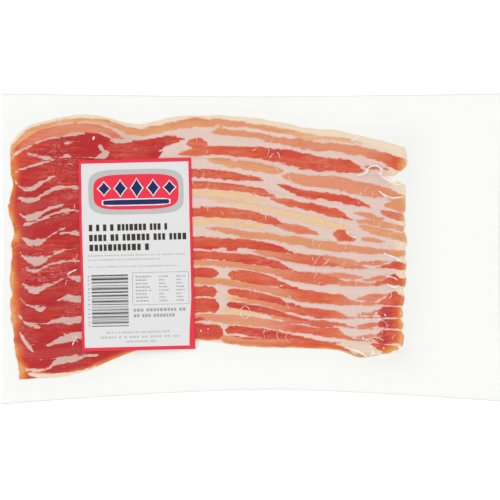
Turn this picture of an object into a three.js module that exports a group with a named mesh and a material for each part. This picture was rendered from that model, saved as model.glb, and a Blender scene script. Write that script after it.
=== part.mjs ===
// A flat vacuum pack of streaky bacon, lying on its back with the label up.
// Twelve long rashers are shingled down the pack: the first, at the +Y side, lies on top of all the
// others, and each one after it shows only the strip below its neighbour's lower edge.
// The clear pouch is drawn tight over them, so pouch and contents are one solid with the rashers'
// steps and scalloped ends in its upper face. Where film lies on film round them, it is a thin margin.
// Millimetres. X runs along the rashers, Y across them, Z up. The origin is on the underside, in the
// middle of the pouch.
import * as THREE from "three";

// The pouch, flat: its corners keep the full size, and the vacuum draws its sides in between them.
const POUCH_LENGTH = 323;
const POUCH_WIDTH = 200;
const MARGIN_THICKNESS = 0.4;
const TOP_PINCH = 1.9;
const BOTTOM_PINCH = 9.6;
const END_PINCH = 1.8;
const BOTTOM_PINCH_X = 10;
const PINCH_POWER = 1.5;

// One rasher, before it is laid.
const RASHER_WIDTH = 27.6;
const RASHER_THICKNESS = 3.1;
const TIP_WIDTH = 19;
const TAPER_START_X = 56;
const RIGHT_END_X = 98;

// Where each rasher's lower edge runs: its height in Y at seven stations along X, and where its two ends
// are. They are laid by hand, so no two pitches are alike.
const STATIONS = [-149, -113.5, -75, -37, -2, 37, 91];
const RASHERS = [
  { edge: [50.6, 58.2, 57.9, 58.2, 57, 49.9, 46.7], ends: [-156.5, 99.2] },
  { edge: [32, 39.7, 41.6, 43.5, 40.3, 31.7, 23.7], ends: [-156.2, 98.6] },
  { edge: [14.7, 23.4, 28.2, 33, 29.4, 22.1, 11.5], ends: [-157.4, 97.9] },
  { edge: [1.9, 10.9, 12.8, 14.7, 13.4, 7, 1.6], ends: [-155.4, 99.3] },
  { edge: [-5.1, 0, 4.5, 8.5, 6.1, 0, -5.4], ends: [-155.2, 98.4] },
  { edge: [-12.8, -7.7, -4.2, -0.8, -3.2, -11.2, -14.1], ends: [-155.5, 98.9] },
  { edge: [-26.2, -19.8, -15.4, -11, -14.1, -22.7, -24.3], ends: [-156.2, 98.7] },
  { edge: [-39.7, -31.4, -27.1, -22.9, -26.6, -34.9, -37.1], ends: [-155.5, 97.6] },
  { edge: [-49.3, -46.1, -38.4, -31, -35.2, -43.8, -44.8], ends: [-155.2, 96.8] },
  { edge: [-62.1, -58.9, -49.9, -42, -43.2, -49.6, -52.5], ends: [-153.3, 96.4] },
  { edge: [-72.3, -68.5, -56.3, -47, -49.9, -55.4, -62.1], ends: [-151.6, 97.2] },
  { edge: [-83.8, -80.3, -65.3, -58.9, -62.7, -63.7, -67.2], ends: [-150.5, 94.5] },
];
const LAST = RASHERS.length - 1;

// Every rasher dips behind the label, the upper ones most, and a flap of the last one's fat sticks out
// near its right end.
const DIP_X = -73;
const DIP_DEPTH = 5.4;
const DIP_REACH = 18;
const FLAP_X = 70;
const FLAP_DEPTH = 4;
const FLAP_REACH = 10;

// How the pile stands: two rashers deep, one deep along its upper and lower sides.
const UPPER_SINGLE = 11;
const LOWER_SINGLE = 12;
const LAYER_RAMP = 8;
const STEP_HEIGHT = 1.5;
const SIDE_ROUND = 3.5;
const END_ROUND = 4.5;
const END_SCALLOP = 1.5;

// The lower corner at the right end is cut away from the first rasher, and a little from the last one.
const FIRST_CUT = 7.5;
const LAST_CUT = 4;
const CUT_START = 0.6;
const CUT_BEND = 1.3;

// Film stands off the pile's sides before it comes down to the margin, furthest at the right end.
const TENT_HEIGHT = 1.9;
const TENT_REACH = 4.5;
const RIGHT_TENT_HEIGHT = 3.2;
const RIGHT_TENT_REACH = 9;

// The label: a sticker a little turned, which bridges the steps under it.
const LABEL_WIDTH = 72.3;
const LABEL_HEIGHT = 122.6;
const LABEL_CENTRE = [-74.1, -3.6];
const LABEL_TURN = 1.3;
const LABEL_THICKNESS = 0.25;
const LABEL_GAP = 0.3;
const LABEL_BRIDGE = 7;
const LABEL_COLUMNS = 10;
const LABEL_ROWS = 18;

// Grid lines of the pouch's upper face, as shares of the stretch that each list divides.
const STRIP_ROWS = [0, 0.14, 0.5, 0.86];
const FIRST_STRIP_ROWS = [0, 0.05, 0.14, 0.4, 0.56, 0.72, 0.94];
const SIDE_MARGIN_ROWS = [0.08, 0.22, 0.5, 1];
const LEFT_MARGIN_COLUMNS = [0, 0.5];
const RIGHT_MARGIN_COLUMNS = [0.06, 0.14, 0.26, 0.42, 0.66, 1];
const END_COLUMNS = [0, 1.4, 3.2, 6];
const INNER_COLUMNS = 34;

const mix = THREE.MathUtils.lerp;
const clamp = THREE.MathUtils.clamp;
const smooth = (t) => THREE.MathUtils.smoothstep(t, 0, 1);
const bump = (distance, reach) => Math.exp(-((distance / reach) ** 2));
const rounded = (t) => Math.sqrt(1 - (1 - clamp(t, 0, 1)) ** 2);

// A smooth curve through the values at the stations.
function throughStations(values, x) {
  const at = clamp(x, RASHERS[0].ends[0], RIGHT_END_X);
  const last = STATIONS.length - 1;
  let i = 0;
  while (i < last - 1 && at > STATIONS[i + 1]) i += 1;
  const slope = (a, b) => (values[b] - values[a]) / (STATIONS[b] - STATIONS[a]);
  const here = slope(Math.max(i - 1, 0), i + 1);
  const next = slope(i, Math.min(i + 2, last));
  const span = STATIONS[i + 1] - STATIONS[i];
  const t = (at - STATIONS[i]) / span;
  if (t < 0) return values[i] + here * (at - STATIONS[i]);
  if (t > 1) return values[i + 1] + next * (at - STATIONS[i + 1]);
  const h = t * t * (3 - 2 * t);
  return (
    mix(values[i], values[i + 1], h) +
    span * (here * t * (1 - t) ** 2 - next * t * t * (1 - t))
  );
}

// The Y of rasher k's lower edge at x.
function lowerEdge(k, x) {
  const dip = DIP_DEPTH * (1 - k / LAST) * bump(x - DIP_X, DIP_REACH);
  const flap = k === LAST ? FLAP_DEPTH * bump(x - FLAP_X, FLAP_REACH) : 0;
  return throughStations(RASHERS[k].edge, x) - dip - flap;
}

// A rasher's width at x: rounded off at the left end, tapering to a tip at the right.
function widthAt(x) {
  const inside = Math.max(x - RASHERS[0].ends[0], 0);
  const left = rounded((inside + 4) / 22);
  const taper = clamp((x - TAPER_START_X) / (RIGHT_END_X - TAPER_START_X), 0, 1);
  return mix(RASHER_WIDTH * left, TIP_WIDTH, taper);
}

// The Y of the upper side of the strip that shows of rasher k.
const stripTop = (k, x) =>
  k === 0 ? lowerEdge(0, x) + widthAt(x) : lowerEdge(k - 1, x);

// The X of the two ends of the strip of rasher k at the share f of the way down it.
function stripEnds(k, f) {
  const [left, right] = RASHERS[k].ends;
  const back = END_SCALLOP * (2 * f - 1) ** 2;
  const deepest = k === 0 ? FIRST_CUT : k === LAST ? LAST_CUT : 0;
  const cut = deepest * clamp((f - CUT_START) / (1 - CUT_START), 0, 1) ** CUT_BEND;
  return [left + back, right - back - cut];
}

// Outline of the pouch: the Y of its sides at x, and the X of its ends at y.
const pinched = (distance) => 1 - clamp(Math.abs(distance), 0, 1) ** PINCH_POWER;
const pouchTop = (x) =>
  POUCH_WIDTH / 2 - TOP_PINCH * pinched((2 * x) / POUCH_LENGTH);
const pouchBottom = (x) =>
  -POUCH_WIDTH / 2 +
  BOTTOM_PINCH * pinched((x - BOTTOM_PINCH_X) / (POUCH_LENGTH / 2 + BOTTOM_PINCH_X));
const pouchEnd = (y) =>
  POUCH_LENGTH / 2 - END_PINCH * pinched((2 * y) / POUCH_WIDTH);

// Which strip holds the point, and how far down it the point is. Above the pile f is negative and
// below it f is more than 1.
function stripAt(x, y) {
  let k = 0;
  while (k < LAST && y < lowerEdge(k, x)) k += 1;
  const top = stripTop(k, x);
  return { k, f: (top - y) / (top - lowerEdge(k, x)) };
}

// Height of the pouch's upper face over its underside.
function height(x, y) {
  const top = stripTop(0, x);
  const bottom = lowerEdge(LAST, x);
  const { k, f } = stripAt(x, y);
  const [left, right] = stripEnds(k, clamp(f, 0, 1));
  const inX = Math.min(x - left, right - x);
  const fromTop = top - y;
  const fromBottom = y - bottom;
  const second =
    smooth((fromTop - UPPER_SINGLE) / LAYER_RAMP) *
    smooth((fromBottom - LOWER_SINGLE) / LAYER_RAMP);
  const step = STEP_HEIGHT * (clamp(f, 0, 1) - 0.5) * (k === 0 ? second : 1);
  const side = rounded(Math.min(fromTop, fromBottom) / SIDE_ROUND);
  const pile =
    (RASHER_THICKNESS * (1 + second) + step) * side * rounded(inX / END_ROUND);

  const toRight = smooth((x - TAPER_START_X) / (RIGHT_END_X - TAPER_START_X));
  const reach = mix(TENT_REACH, RIGHT_TENT_REACH, toRight);
  const outX = Math.max(0, -inX);
  const outY = Math.max(0, -fromTop, -fromBottom);
  const tent =
    mix(TENT_HEIGHT, RIGHT_TENT_HEIGHT, toRight) *
    Math.exp(-((Math.hypot(outX, outY) / reach) ** 1.3));
  const over = Math.max(pile, tent);
  const toEdge = Math.min(
    pouchTop(x) - y,
    y - pouchBottom(x),
    pouchEnd(y) - Math.abs(x),
  );
  return MARGIN_THICKNESS + over * smooth(toEdge / 4);
}

// The rows of the grid, from the pouch's lower side to its upper side. Each says where its points'
// Y is at x and where it meets the pile's two ends.
function gridRows() {
  const rows = [];
  const ends = (k, f) => ({ ends: stripEnds(k, f) });
  for (const share of [...SIDE_MARGIN_ROWS].reverse())
    rows.push({
      y: (x) => mix(lowerEdge(LAST, x), pouchBottom(x), share),
      ...ends(LAST, 1),
    });
  for (let k = LAST; k >= 0; k -= 1) {
    const shares = k === 0 ? FIRST_STRIP_ROWS : STRIP_ROWS;
    if (k === LAST)
      rows.push({ y: (x) => lowerEdge(LAST, x), ...ends(LAST, 1) });
    for (const share of [...shares].reverse())
      rows.push({
        y: (x) => mix(stripTop(k, x), lowerEdge(k, x), share),
        ...ends(k, share),
      });
  }
  for (const share of SIDE_MARGIN_ROWS)
    rows.push({
      y: (x) => mix(stripTop(0, x), pouchTop(x), share),
      ...ends(0, 0),
    });
  return rows;
}

// The X of the points of a row whose ends are given, at the Y that the row has near x.
function rowColumns(row) {
  const [left, right] = row.ends;
  const leftEdge = -pouchEnd(row.y(left));
  const rightEdge = pouchEnd(row.y(right));
  const xs = LEFT_MARGIN_COLUMNS.map((share) => mix(leftEdge, left, share));
  const last = END_COLUMNS.length - 1;
  const innerLeft = left + END_COLUMNS[last];
  const innerRight = right - END_COLUMNS[last];
  for (const inset of END_COLUMNS) xs.push(left + inset);
  for (let i = 1; i < INNER_COLUMNS; i += 1)
    xs.push(mix(innerLeft, innerRight, i / INNER_COLUMNS));
  for (const inset of [...END_COLUMNS].reverse()) xs.push(right - inset);
  for (const share of RIGHT_MARGIN_COLUMNS)
    xs.push(mix(right, rightEdge, share));
  return xs;
}

// A closed solid from a grid of points over a flat or matching underside. The points' order is along
// X, then row by row along Y.
function sheetSolid(grid, under) {
  const rows = grid.length;
  const columns = grid[0].length;
  const positions = grid.flat(2);
  const index = [];
  const at = (r, c) => r * columns + c;
  for (let r = 0; r + 1 < rows; r += 1)
    for (let c = 0; c + 1 < columns; c += 1) {
      const [a, b, d, e] = [at(r, c), at(r, c + 1), at(r + 1, c), at(r + 1, c + 1)];
      index.push(a, b, e, a, e, d);
    }
  const rim = [];
  for (let c = 0; c < columns - 1; c += 1) rim.push(at(0, c));
  for (let r = 0; r < rows - 1; r += 1) rim.push(at(r, columns - 1));
  for (let c = columns - 1; c > 0; c -= 1) rim.push(at(rows - 1, c));
  for (let r = rows - 1; r > 0; r -= 1) rim.push(at(r, 0));
  const first = positions.length / 3;
  const lower = under(grid, rim);
  positions.push(...lower.positions);
  for (const i of lower.index) index.push(first + i);
  rim.forEach((upper, i) => {
    const nextUpper = rim[(i + 1) % rim.length];
    const below = first + lower.rim[i];
    const nextBelow = first + lower.rim[(i + 1) % rim.length];
    index.push(upper, below, nextBelow, upper, nextBelow, nextUpper);
  });
  const geometry = new THREE.BufferGeometry();
  geometry.setAttribute("position", new THREE.Float32BufferAttribute(positions, 3));
  geometry.setIndex(index);
  geometry.computeVertexNormals();
  return geometry;
}

// A flat underside at Z 0: a fan from the origin out to the rim.
function flatUnder(grid, rim) {
  const points = grid.flat();
  const outline = rim.flatMap((i) => [points[i][0], points[i][1], 0]);
  const centre = rim.length;
  return {
    positions: [...outline, 0, 0, 0],
    index: rim.flatMap((_, i) => [centre, (i + 1) % rim.length, i]),
    rim: rim.map((_, i) => i),
  };
}

// An underside that follows the upper face at a given depth.
function offsetUnder(depth) {
  return (grid, rim) => {
    const columns = grid[0].length;
    const index = [];
    for (let r = 0; r + 1 < grid.length; r += 1)
      for (let c = 0; c + 1 < columns; c += 1) {
        const a = r * columns + c;
        const d = a + columns;
        index.push(a, d + 1, a + 1, a, d, d + 1);
      }
    return {
      positions: grid.flat().flatMap(([x, y, z]) => [x, y, z - depth]),
      index,
      rim,
    };
  };
}

function makePouch() {
  const grid = gridRows().map((row) =>
    rowColumns(row).map((x) => {
      const y = row.y(x);
      return [x, y, height(x, y)];
    }),
  );
  return sheetSolid(grid, flatUnder);
}

// The label's lower face at a point: it rests on the highest step within reach.
function labelRest(x, y) {
  let highest = 0;
  for (let i = -4; i <= 4; i += 1)
    highest = Math.max(highest, height(x, y + (LABEL_BRIDGE * i) / 4));
  return highest + LABEL_GAP;
}

function makeLabel() {
  const turn = THREE.MathUtils.degToRad(LABEL_TURN);
  const grid = [];
  for (let r = 0; r <= LABEL_ROWS; r += 1) {
    const v = (r / LABEL_ROWS - 0.5) * LABEL_HEIGHT;
    const row = [];
    for (let c = 0; c <= LABEL_COLUMNS; c += 1) {
      const u = (c / LABEL_COLUMNS - 0.5) * LABEL_WIDTH;
      const x = LABEL_CENTRE[0] + u * Math.cos(turn) - v * Math.sin(turn);
      const y = LABEL_CENTRE[1] + u * Math.sin(turn) + v * Math.cos(turn);
      row.push([x, y, labelRest(x, y) + LABEL_THICKNESS]);
    }
    grid.push(row);
  }
  return sheetSolid(grid, offsetUnder(LABEL_THICKNESS));
}

const finish = (color, roughness) =>
  new THREE.MeshStandardMaterial({ color, roughness, metalness: 0 });

const pack = new THREE.Group();
const pouch = new THREE.Mesh(makePouch(), finish("#cf6a55", 0.25));
pouch.name = "pouch";
const label = new THREE.Mesh(makeLabel(), finish("#e4e3e2", 0.5));
label.name = "label";
pack.add(pouch, label);

export default pack;
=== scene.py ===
# %% [markdown]
# # A flat pack of streaky bacon
# Twelve long rashers lie shingled in a clear pouch, with a paper label stuck on its face. The pack
# lies on its back on a white table and is seen from straight above.
# The solids of the pack are plain: one closed body for the pouch and all that is in it, and one for
# the label. Here the pouch gives way to real rashers with film over and under them. All sizes below
# are in millimetres, and the last step before a mesh is made turns them into metres.

import math

import bpy
import numpy as np
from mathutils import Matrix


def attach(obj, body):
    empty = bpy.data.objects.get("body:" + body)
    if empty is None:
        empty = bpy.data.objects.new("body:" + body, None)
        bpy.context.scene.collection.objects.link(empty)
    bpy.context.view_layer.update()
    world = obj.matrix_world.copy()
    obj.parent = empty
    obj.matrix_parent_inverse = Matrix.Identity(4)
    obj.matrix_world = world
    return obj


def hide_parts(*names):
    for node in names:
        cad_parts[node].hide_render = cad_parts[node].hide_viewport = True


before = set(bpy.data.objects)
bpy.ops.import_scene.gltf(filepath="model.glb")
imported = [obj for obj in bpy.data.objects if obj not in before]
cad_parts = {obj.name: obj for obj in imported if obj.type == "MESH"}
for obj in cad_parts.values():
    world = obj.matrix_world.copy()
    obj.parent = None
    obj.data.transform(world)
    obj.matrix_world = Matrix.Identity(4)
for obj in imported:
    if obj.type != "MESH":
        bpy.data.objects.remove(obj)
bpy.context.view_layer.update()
MM = 0.001


def smooth(t):
    t = np.clip(t, 0, 1)
    return t * t * (3 - 2 * t)


def rounded(t):
    """A quarter circle: 0 at 0, 1 from 1 on, steep at the start like a pillow's edge."""
    return np.sqrt(1 - (1 - np.clip(t, 0, 1)) ** 2)


def mix(a, b, t):
    return a + (b - a) * t


# %% [markdown]
# A hand-made thing is never quite regular. Instead of many random numbers, a soft noise is used: a
# lattice of random values, blended from one lattice point to the next. Its two steps say how long and
# how wide the patches are, so the same function makes both wavy edges and long muscle grain.

# %% Soft noise
def soft_noise(seed, x, y, step_x, step_y):
    lattice = np.random.default_rng(seed).uniform(-1, 1, (97, 97))
    fx = np.asarray(x, float) / step_x + 31.4
    fy = np.asarray(y, float) / step_y + 17.7
    ix = np.floor(fx).astype(int)
    iy = np.floor(fy).astype(int)
    tx = smooth(fx - ix)
    ty = smooth(fy - iy)
    low = mix(lattice[iy % 97, ix % 97], lattice[iy % 97, (ix + 1) % 97], tx)
    high = mix(lattice[(iy + 1) % 97, ix % 97], lattice[(iy + 1) % 97, (ix + 1) % 97], tx)
    return mix(low, high, ty)


def smooth_curve(stations, values, x):
    """A smooth curve through values at stations, going on straight past both ends."""
    xs = np.array(stations, float)
    ys = np.array(values, float)
    slopes = np.empty(len(xs))
    slopes[0] = (ys[1] - ys[0]) / (xs[1] - xs[0])
    slopes[-1] = (ys[-1] - ys[-2]) / (xs[-1] - xs[-2])
    slopes[1:-1] = (ys[2:] - ys[:-2]) / (xs[2:] - xs[:-2])
    inside = np.clip(x, xs[0], xs[-1])
    i = np.clip(np.searchsorted(xs, inside) - 1, 0, len(xs) - 2)
    span = xs[i + 1] - xs[i]
    t = (inside - xs[i]) / span
    bend = span * (slopes[i] * t * (1 - t) ** 2 - slopes[i + 1] * t * t * (1 - t))
    past = slopes[0] * np.minimum(x - xs[0], 0) + slopes[-1] * np.maximum(x - xs[-1], 0)
    return mix(ys[i], ys[i + 1], smooth(t)) + bend + past


# %% [markdown]
# ## How the rashers lie
# The rashers are laid one after another from the near side of the pack to the far side, so the last
# one laid, at the far side, shows whole, and each of the others shows only a strip along its lower
# edge. Where those lower edges run is the whole layout of the pack. Each edge is given at seven
# stations along the pack, and a small wobble is added, because no knife cut stays straight. The left
# ends come from one cut through the whole belly, so they are given as one line from the near side of
# the pack to the far side. At the right each rasher has its own tip.

# %% The lay
STATIONS = [-149, -113.5, -75, -37, -2, 37, 91]
RASHER_EDGES = [
    [50.6, 58.2, 57.9, 58.2, 57, 49.9, 46.7],
    [32, 39.7, 41.6, 43.5, 40.3, 31.7, 23.7],
    [14.7, 23.4, 28.2, 33, 29.4, 22.1, 11.5],
    [1.9, 10.9, 12.8, 14.7, 13.4, 7, 1.6],
    [-5.1, 0, 4.5, 8.5, 6.1, 0, -5.4],
    [-12.8, -7.7, -4.2, -0.8, -3.2, -11.2, -14.1],
    [-26.2, -19.8, -15.4, -11, -14.1, -22.7, -24.3],
    [-39.7, -31.4, -27.1, -22.9, -26.6, -34.9, -37.1],
    [-49.3, -46.1, -38.4, -31, -35.2, -43.8, -44.8],
    [-62.1, -58.9, -49.9, -42, -43.2, -49.6, -52.5],
    [-72.3, -68.5, -56.3, -47, -49.9, -55.4, -62.1],
    [-83.8, -80.3, -65.3, -58.9, -62.7, -63.7, -67.2],
]
LEFT_END_Y = [-83, -75, -66, -52, -44, -35, -29, -20, -9, -2, 3, 9, 16, 23, 28, 37, 42, 49, 57, 65, 80]
LEFT_END_X = [
    -149.8, -150.4, -152.5, -153.6, -155, -155.7, -154.7, -155.9, -154.9, -154.4, -155,
    -153.2, -154.2, -156.2, -157.2, -154.8, -153.9, -155.8, -155.2, -155.8, -153.5,
]
LEFT_END_REACH = (LEFT_END_Y[0], LEFT_END_Y[-1])
RIGHT_TIPS = [99.2, 98.6, 97.9, 99.3, 98.4, 98.9, 98.7, 97.6, 96.8, 96.4, 97.2, 94.5]
LAST = len(RASHER_EDGES) - 1
RASHER_WIDTH = 27.6
TIP_WIDTH = 19
SLICE = 2.5
CORNER_CUTS = {0: 7.5, LAST: 4.0}


def lower_edge(k, x):
    """Rasher k's lower edge, with a dip under the label and the last one's small flap."""
    dip = 5.4 * (1 - k / LAST) * np.exp(-(((x + 73) / 18) ** 2))
    flap = 4 * np.exp(-(((x - 70) / 10) ** 2)) if k == LAST else 0
    long_wobble = 0.35 * soft_noise(40 + k, x, k * 9.0, 9, 5)
    short_wobble = 0.16 * soft_noise(60 + k, x, k * 9.0, 3, 5)
    return smooth_curve(STATIONS, RASHER_EDGES[k], x) - dip - flap + (long_wobble + short_wobble)


def left_end(y):
    """The rashers' left ends make one line from the near side to the far side, nearly straight."""
    return smooth_curve(LEFT_END_Y, LEFT_END_X, np.clip(y, *LEFT_END_REACH))


def rasher_width(x):
    """Round at the left end, even along most of its length, and narrower towards its right tip."""
    start = rounded((np.maximum(x + 156.5, 0) + 4) / 22)
    taper = np.clip((x - 56) / 42, 0, 1)
    return mix(RASHER_WIDTH * start, TIP_WIDTH, taper)


def upper_edge(k, x):
    wobble = 0.3 * soft_noise(80 + k, x, k * 9.0, 11, 5)
    return lower_edge(k, x) + rasher_width(x) + wobble


def strip_top(k, x):
    """Where the strip that shows of rasher k begins: under its neighbour's lower edge."""
    return upper_edge(0, x) if k == 0 else lower_edge(k - 1, x)


def strip_share(k, x, y):
    """0 at the top of the strip that shows of rasher k, 1 at its lower edge."""
    top = strip_top(k, x)
    return (top - y) / (top - lower_edge(k, x))


def end_setback(k, share, x):
    """How far a rasher's end lies in from its tip: least halfway down the strip that shows.

    At the right the first rasher's lower corner is cut away, and a little of the last one's.
    """
    cut = CORNER_CUTS.get(k, 0) * np.clip((share - 0.6) / 0.4, 0, 1) ** 1.3
    hidden = np.maximum(-share, 0) * 3
    scallop = np.where(x > 0, 1.5, 0.5) * (2 * np.clip(share, 0, 1) - 1) ** 2
    return scallop + hidden + np.where(x > 0, cut, 0)


print("rashers", LAST + 1, "of about", RASHER_WIDTH, "mm wide")

# %% [markdown]
# ## Laying them down
# A slice of bacon is limp, so it takes the shape of what it lies on. The pile is built the way hands
# build it: a height map starts as the bare film, and each rasher in turn is laid on it. Its underside
# is the map, smoothed a little because meat bridges a step, and its top is a slice's thickness higher.
# The map then takes that top, and the next rasher is laid.

# %% Draping on a height map
CELL = 0.6
map_x = np.arange(-170, 172, CELL)
map_y = np.arange(-104, 104, CELL)
plan_x, plan_y = np.meshgrid(map_x, map_y)


def blurred(heights, reach, rounds=2):
    """A box blur along both ways, done more than once so that it is nearly round."""
    n = max(1, int(round(reach / CELL)))
    for _ in range(rounds):
        for axis in (0, 1):
            pads = [(n + 1, n) if a == axis else (0, 0) for a in (0, 1)]
            total = np.cumsum(np.pad(heights, pads, mode="edge"), axis=axis)
            end = np.take(total, range(2 * n + 1, total.shape[axis]), axis=axis)
            start = np.take(total, range(0, total.shape[axis] - 2 * n - 1), axis=axis)
            heights = (end - start) / (2 * n + 1)
    return heights


def read_map(heights, x, y):
    """The map's height at points in between its cells."""
    fx = np.clip((x - map_x[0]) / CELL, 0, len(map_x) - 1.001)
    fy = np.clip((y - map_y[0]) / CELL, 0, len(map_y) - 1.001)
    ix = fx.astype(int)
    iy = fy.astype(int)
    tx = fx - ix
    ty = fy - iy
    low = mix(heights[iy, ix], heights[iy, ix + 1], tx)
    high = mix(heights[iy + 1, ix], heights[iy + 1, ix + 1], tx)
    return mix(low, high, ty)


def end_wobble(k, y):
    """How far the cut at a rasher's end strays from its line."""
    return 0.45 * soft_noise(240 + k, y, k * 5.0, 3.4, 5) + 0.3 * soft_noise(270, y, y, 5.2, 9)


def to_ends(k, x, y):
    """How far a point lies in from rasher k's nearer end."""
    back = end_setback(k, strip_share(k, x, y), x) - end_wobble(k, y)
    return np.minimum(x - left_end(y) - back, RIGHT_TIPS[k] - back - x)


def to_sides(k, x, y):
    """How far a point lies in from rasher k's nearer long edge."""
    return np.minimum(y - lower_edge(k, x), upper_edge(k, x) - y)


def inside_distance(k, x, y):
    """How deep inside rasher k's outline a point lies; below 0 outside it."""
    return np.minimum(to_sides(k, x, y), to_ends(k, x, y))


def slice_thickness(k, x, y):
    """A slice is pressed thin at its rim and swells to its full thickness over a few millimetres."""
    swell = 1 + 0.06 * soft_noise(100 + k, x, y, 14, 6)
    side = to_sides(k, x, y)
    end = to_ends(k, x, y)
    rim = rounded(np.minimum(side, end * 0.5) / 1.5)
    side_slope = mix(0.16, 1, smooth(side / 9))
    end_slope = mix(0.45, 1, smooth(end / 11))
    return SLICE * swell * rim * side_slope * end_slope


FILM_UNDER = 0.25
pile = np.full(plan_x.shape, FILM_UNDER)
beds = {}
for k in range(LAST, -1, -1):
    bed = np.maximum(blurred(pile, 2.2), pile)
    beds[k] = bed
    top = bed + slice_thickness(k, plan_x, plan_y)
    pile = np.where(inside_distance(k, plan_x, plan_y) > 0, np.maximum(pile, top), pile)
covered = (pile > FILM_UNDER + 0.01).astype(float)
cover = blurred(covered, 3.0)
wide_cover = blurred(covered, 6.0)
print("pile is", round(float(pile.max()), 2), "mm high at most")

# %% [markdown]
# ## Lean and fat
# Every slice comes off the same piece of belly, so the same muscles turn up in each, a little shifted.
# A muscle looks like a long lens drawn along the rasher. It is given by where it starts and ends and
# how far down the strip its two sides lie. From that comes a distance in millimetres: above zero in
# the lean, below zero in the fat. The material later draws the border where the distance passes zero,
# so the border stays sharp however coarse the mesh is.
# Each muscle also has a warmth. Lean that lies over lean is deep red (0), a single layer over the
# white table lets light through and turns orange (0.7), and thin fat over the table is cream (1).

# %% Muscles and fat as distances
def muscle_distance(x, share, strip, stations):
    """stations: (x, share at the upper side, share at the lower side, warmth) from left to right.

    A muscle that reaches the rasher's own end is cut off there. Any other ends round where it is
    thick and runs out to a point where it is thin.
    """
    table = np.array(stations, float)
    upper = np.interp(x, table[:, 0], table[:, 1])
    lower = np.interp(x, table[:, 0], table[:, 2])
    warmth = np.interp(x, table[:, 0], table[:, 3])
    inside = np.stack([x - table[0, 0], table[-1, 0] - x])
    taper = 1.0
    for distance, station, at_own_end in (
        (inside[0], table[0], table[0, 0] < -150),
        (inside[1], table[-1], table[-1, 0] > 94),
    ):
        if not at_own_end:
            round_end = station[2] - station[1] > 0.37
            reach = 3.0 if round_end else min(7, 0.4 * (table[-1, 0] - table[0, 0]))
            taper = taper * np.clip(distance / reach, 0, 1) ** (0.5 if round_end else 0.7)
    to_end = inside.min(axis=0)
    half = (lower - upper) / 2 * strip * taper
    distance = half - np.abs(share - (upper + lower) / 2) * strip
    return np.where(to_end > 0, distance, np.minimum(distance, 0) + np.maximum(to_end, -4)), warmth


def eye_distance(x, y, thin, thick, at, reach, line):
    """How deep inside an eye of fat a point lies; below 0 outside it."""
    stations, middles = np.array(line, float).T
    half = mix(thin, thick, np.exp(-(((x - at) / reach) ** 4)))
    to_end = np.minimum(x - stations[0], stations[-1] - x)
    distance = half * rounded(to_end / 2.5) - np.abs(y - smooth_curve(stations, middles, x))
    return np.where(to_end > 0, distance, np.minimum(distance, 0) + np.maximum(to_end, -4))


# %% [markdown]
# The first rasher shows whole: the cream rind side, a thin orange muscle, a pale line, a second muscle,
# a broad band of fat and then the thick red muscle. Its neighbours down the pack show less and less
# of that, so from the sixth on only the lowest muscles are left, and a single rule with a little
# chance in it serves all of those.

# %% The upper rashers' muscles
RED, SALMON, ORANGE, PEACH, CREAM = 0.0, 0.5, 0.68, 0.84, 1.0
RED_LEFT = [(-170, -1, 2, RED), (-48, -1, 2, RED)]

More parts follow.
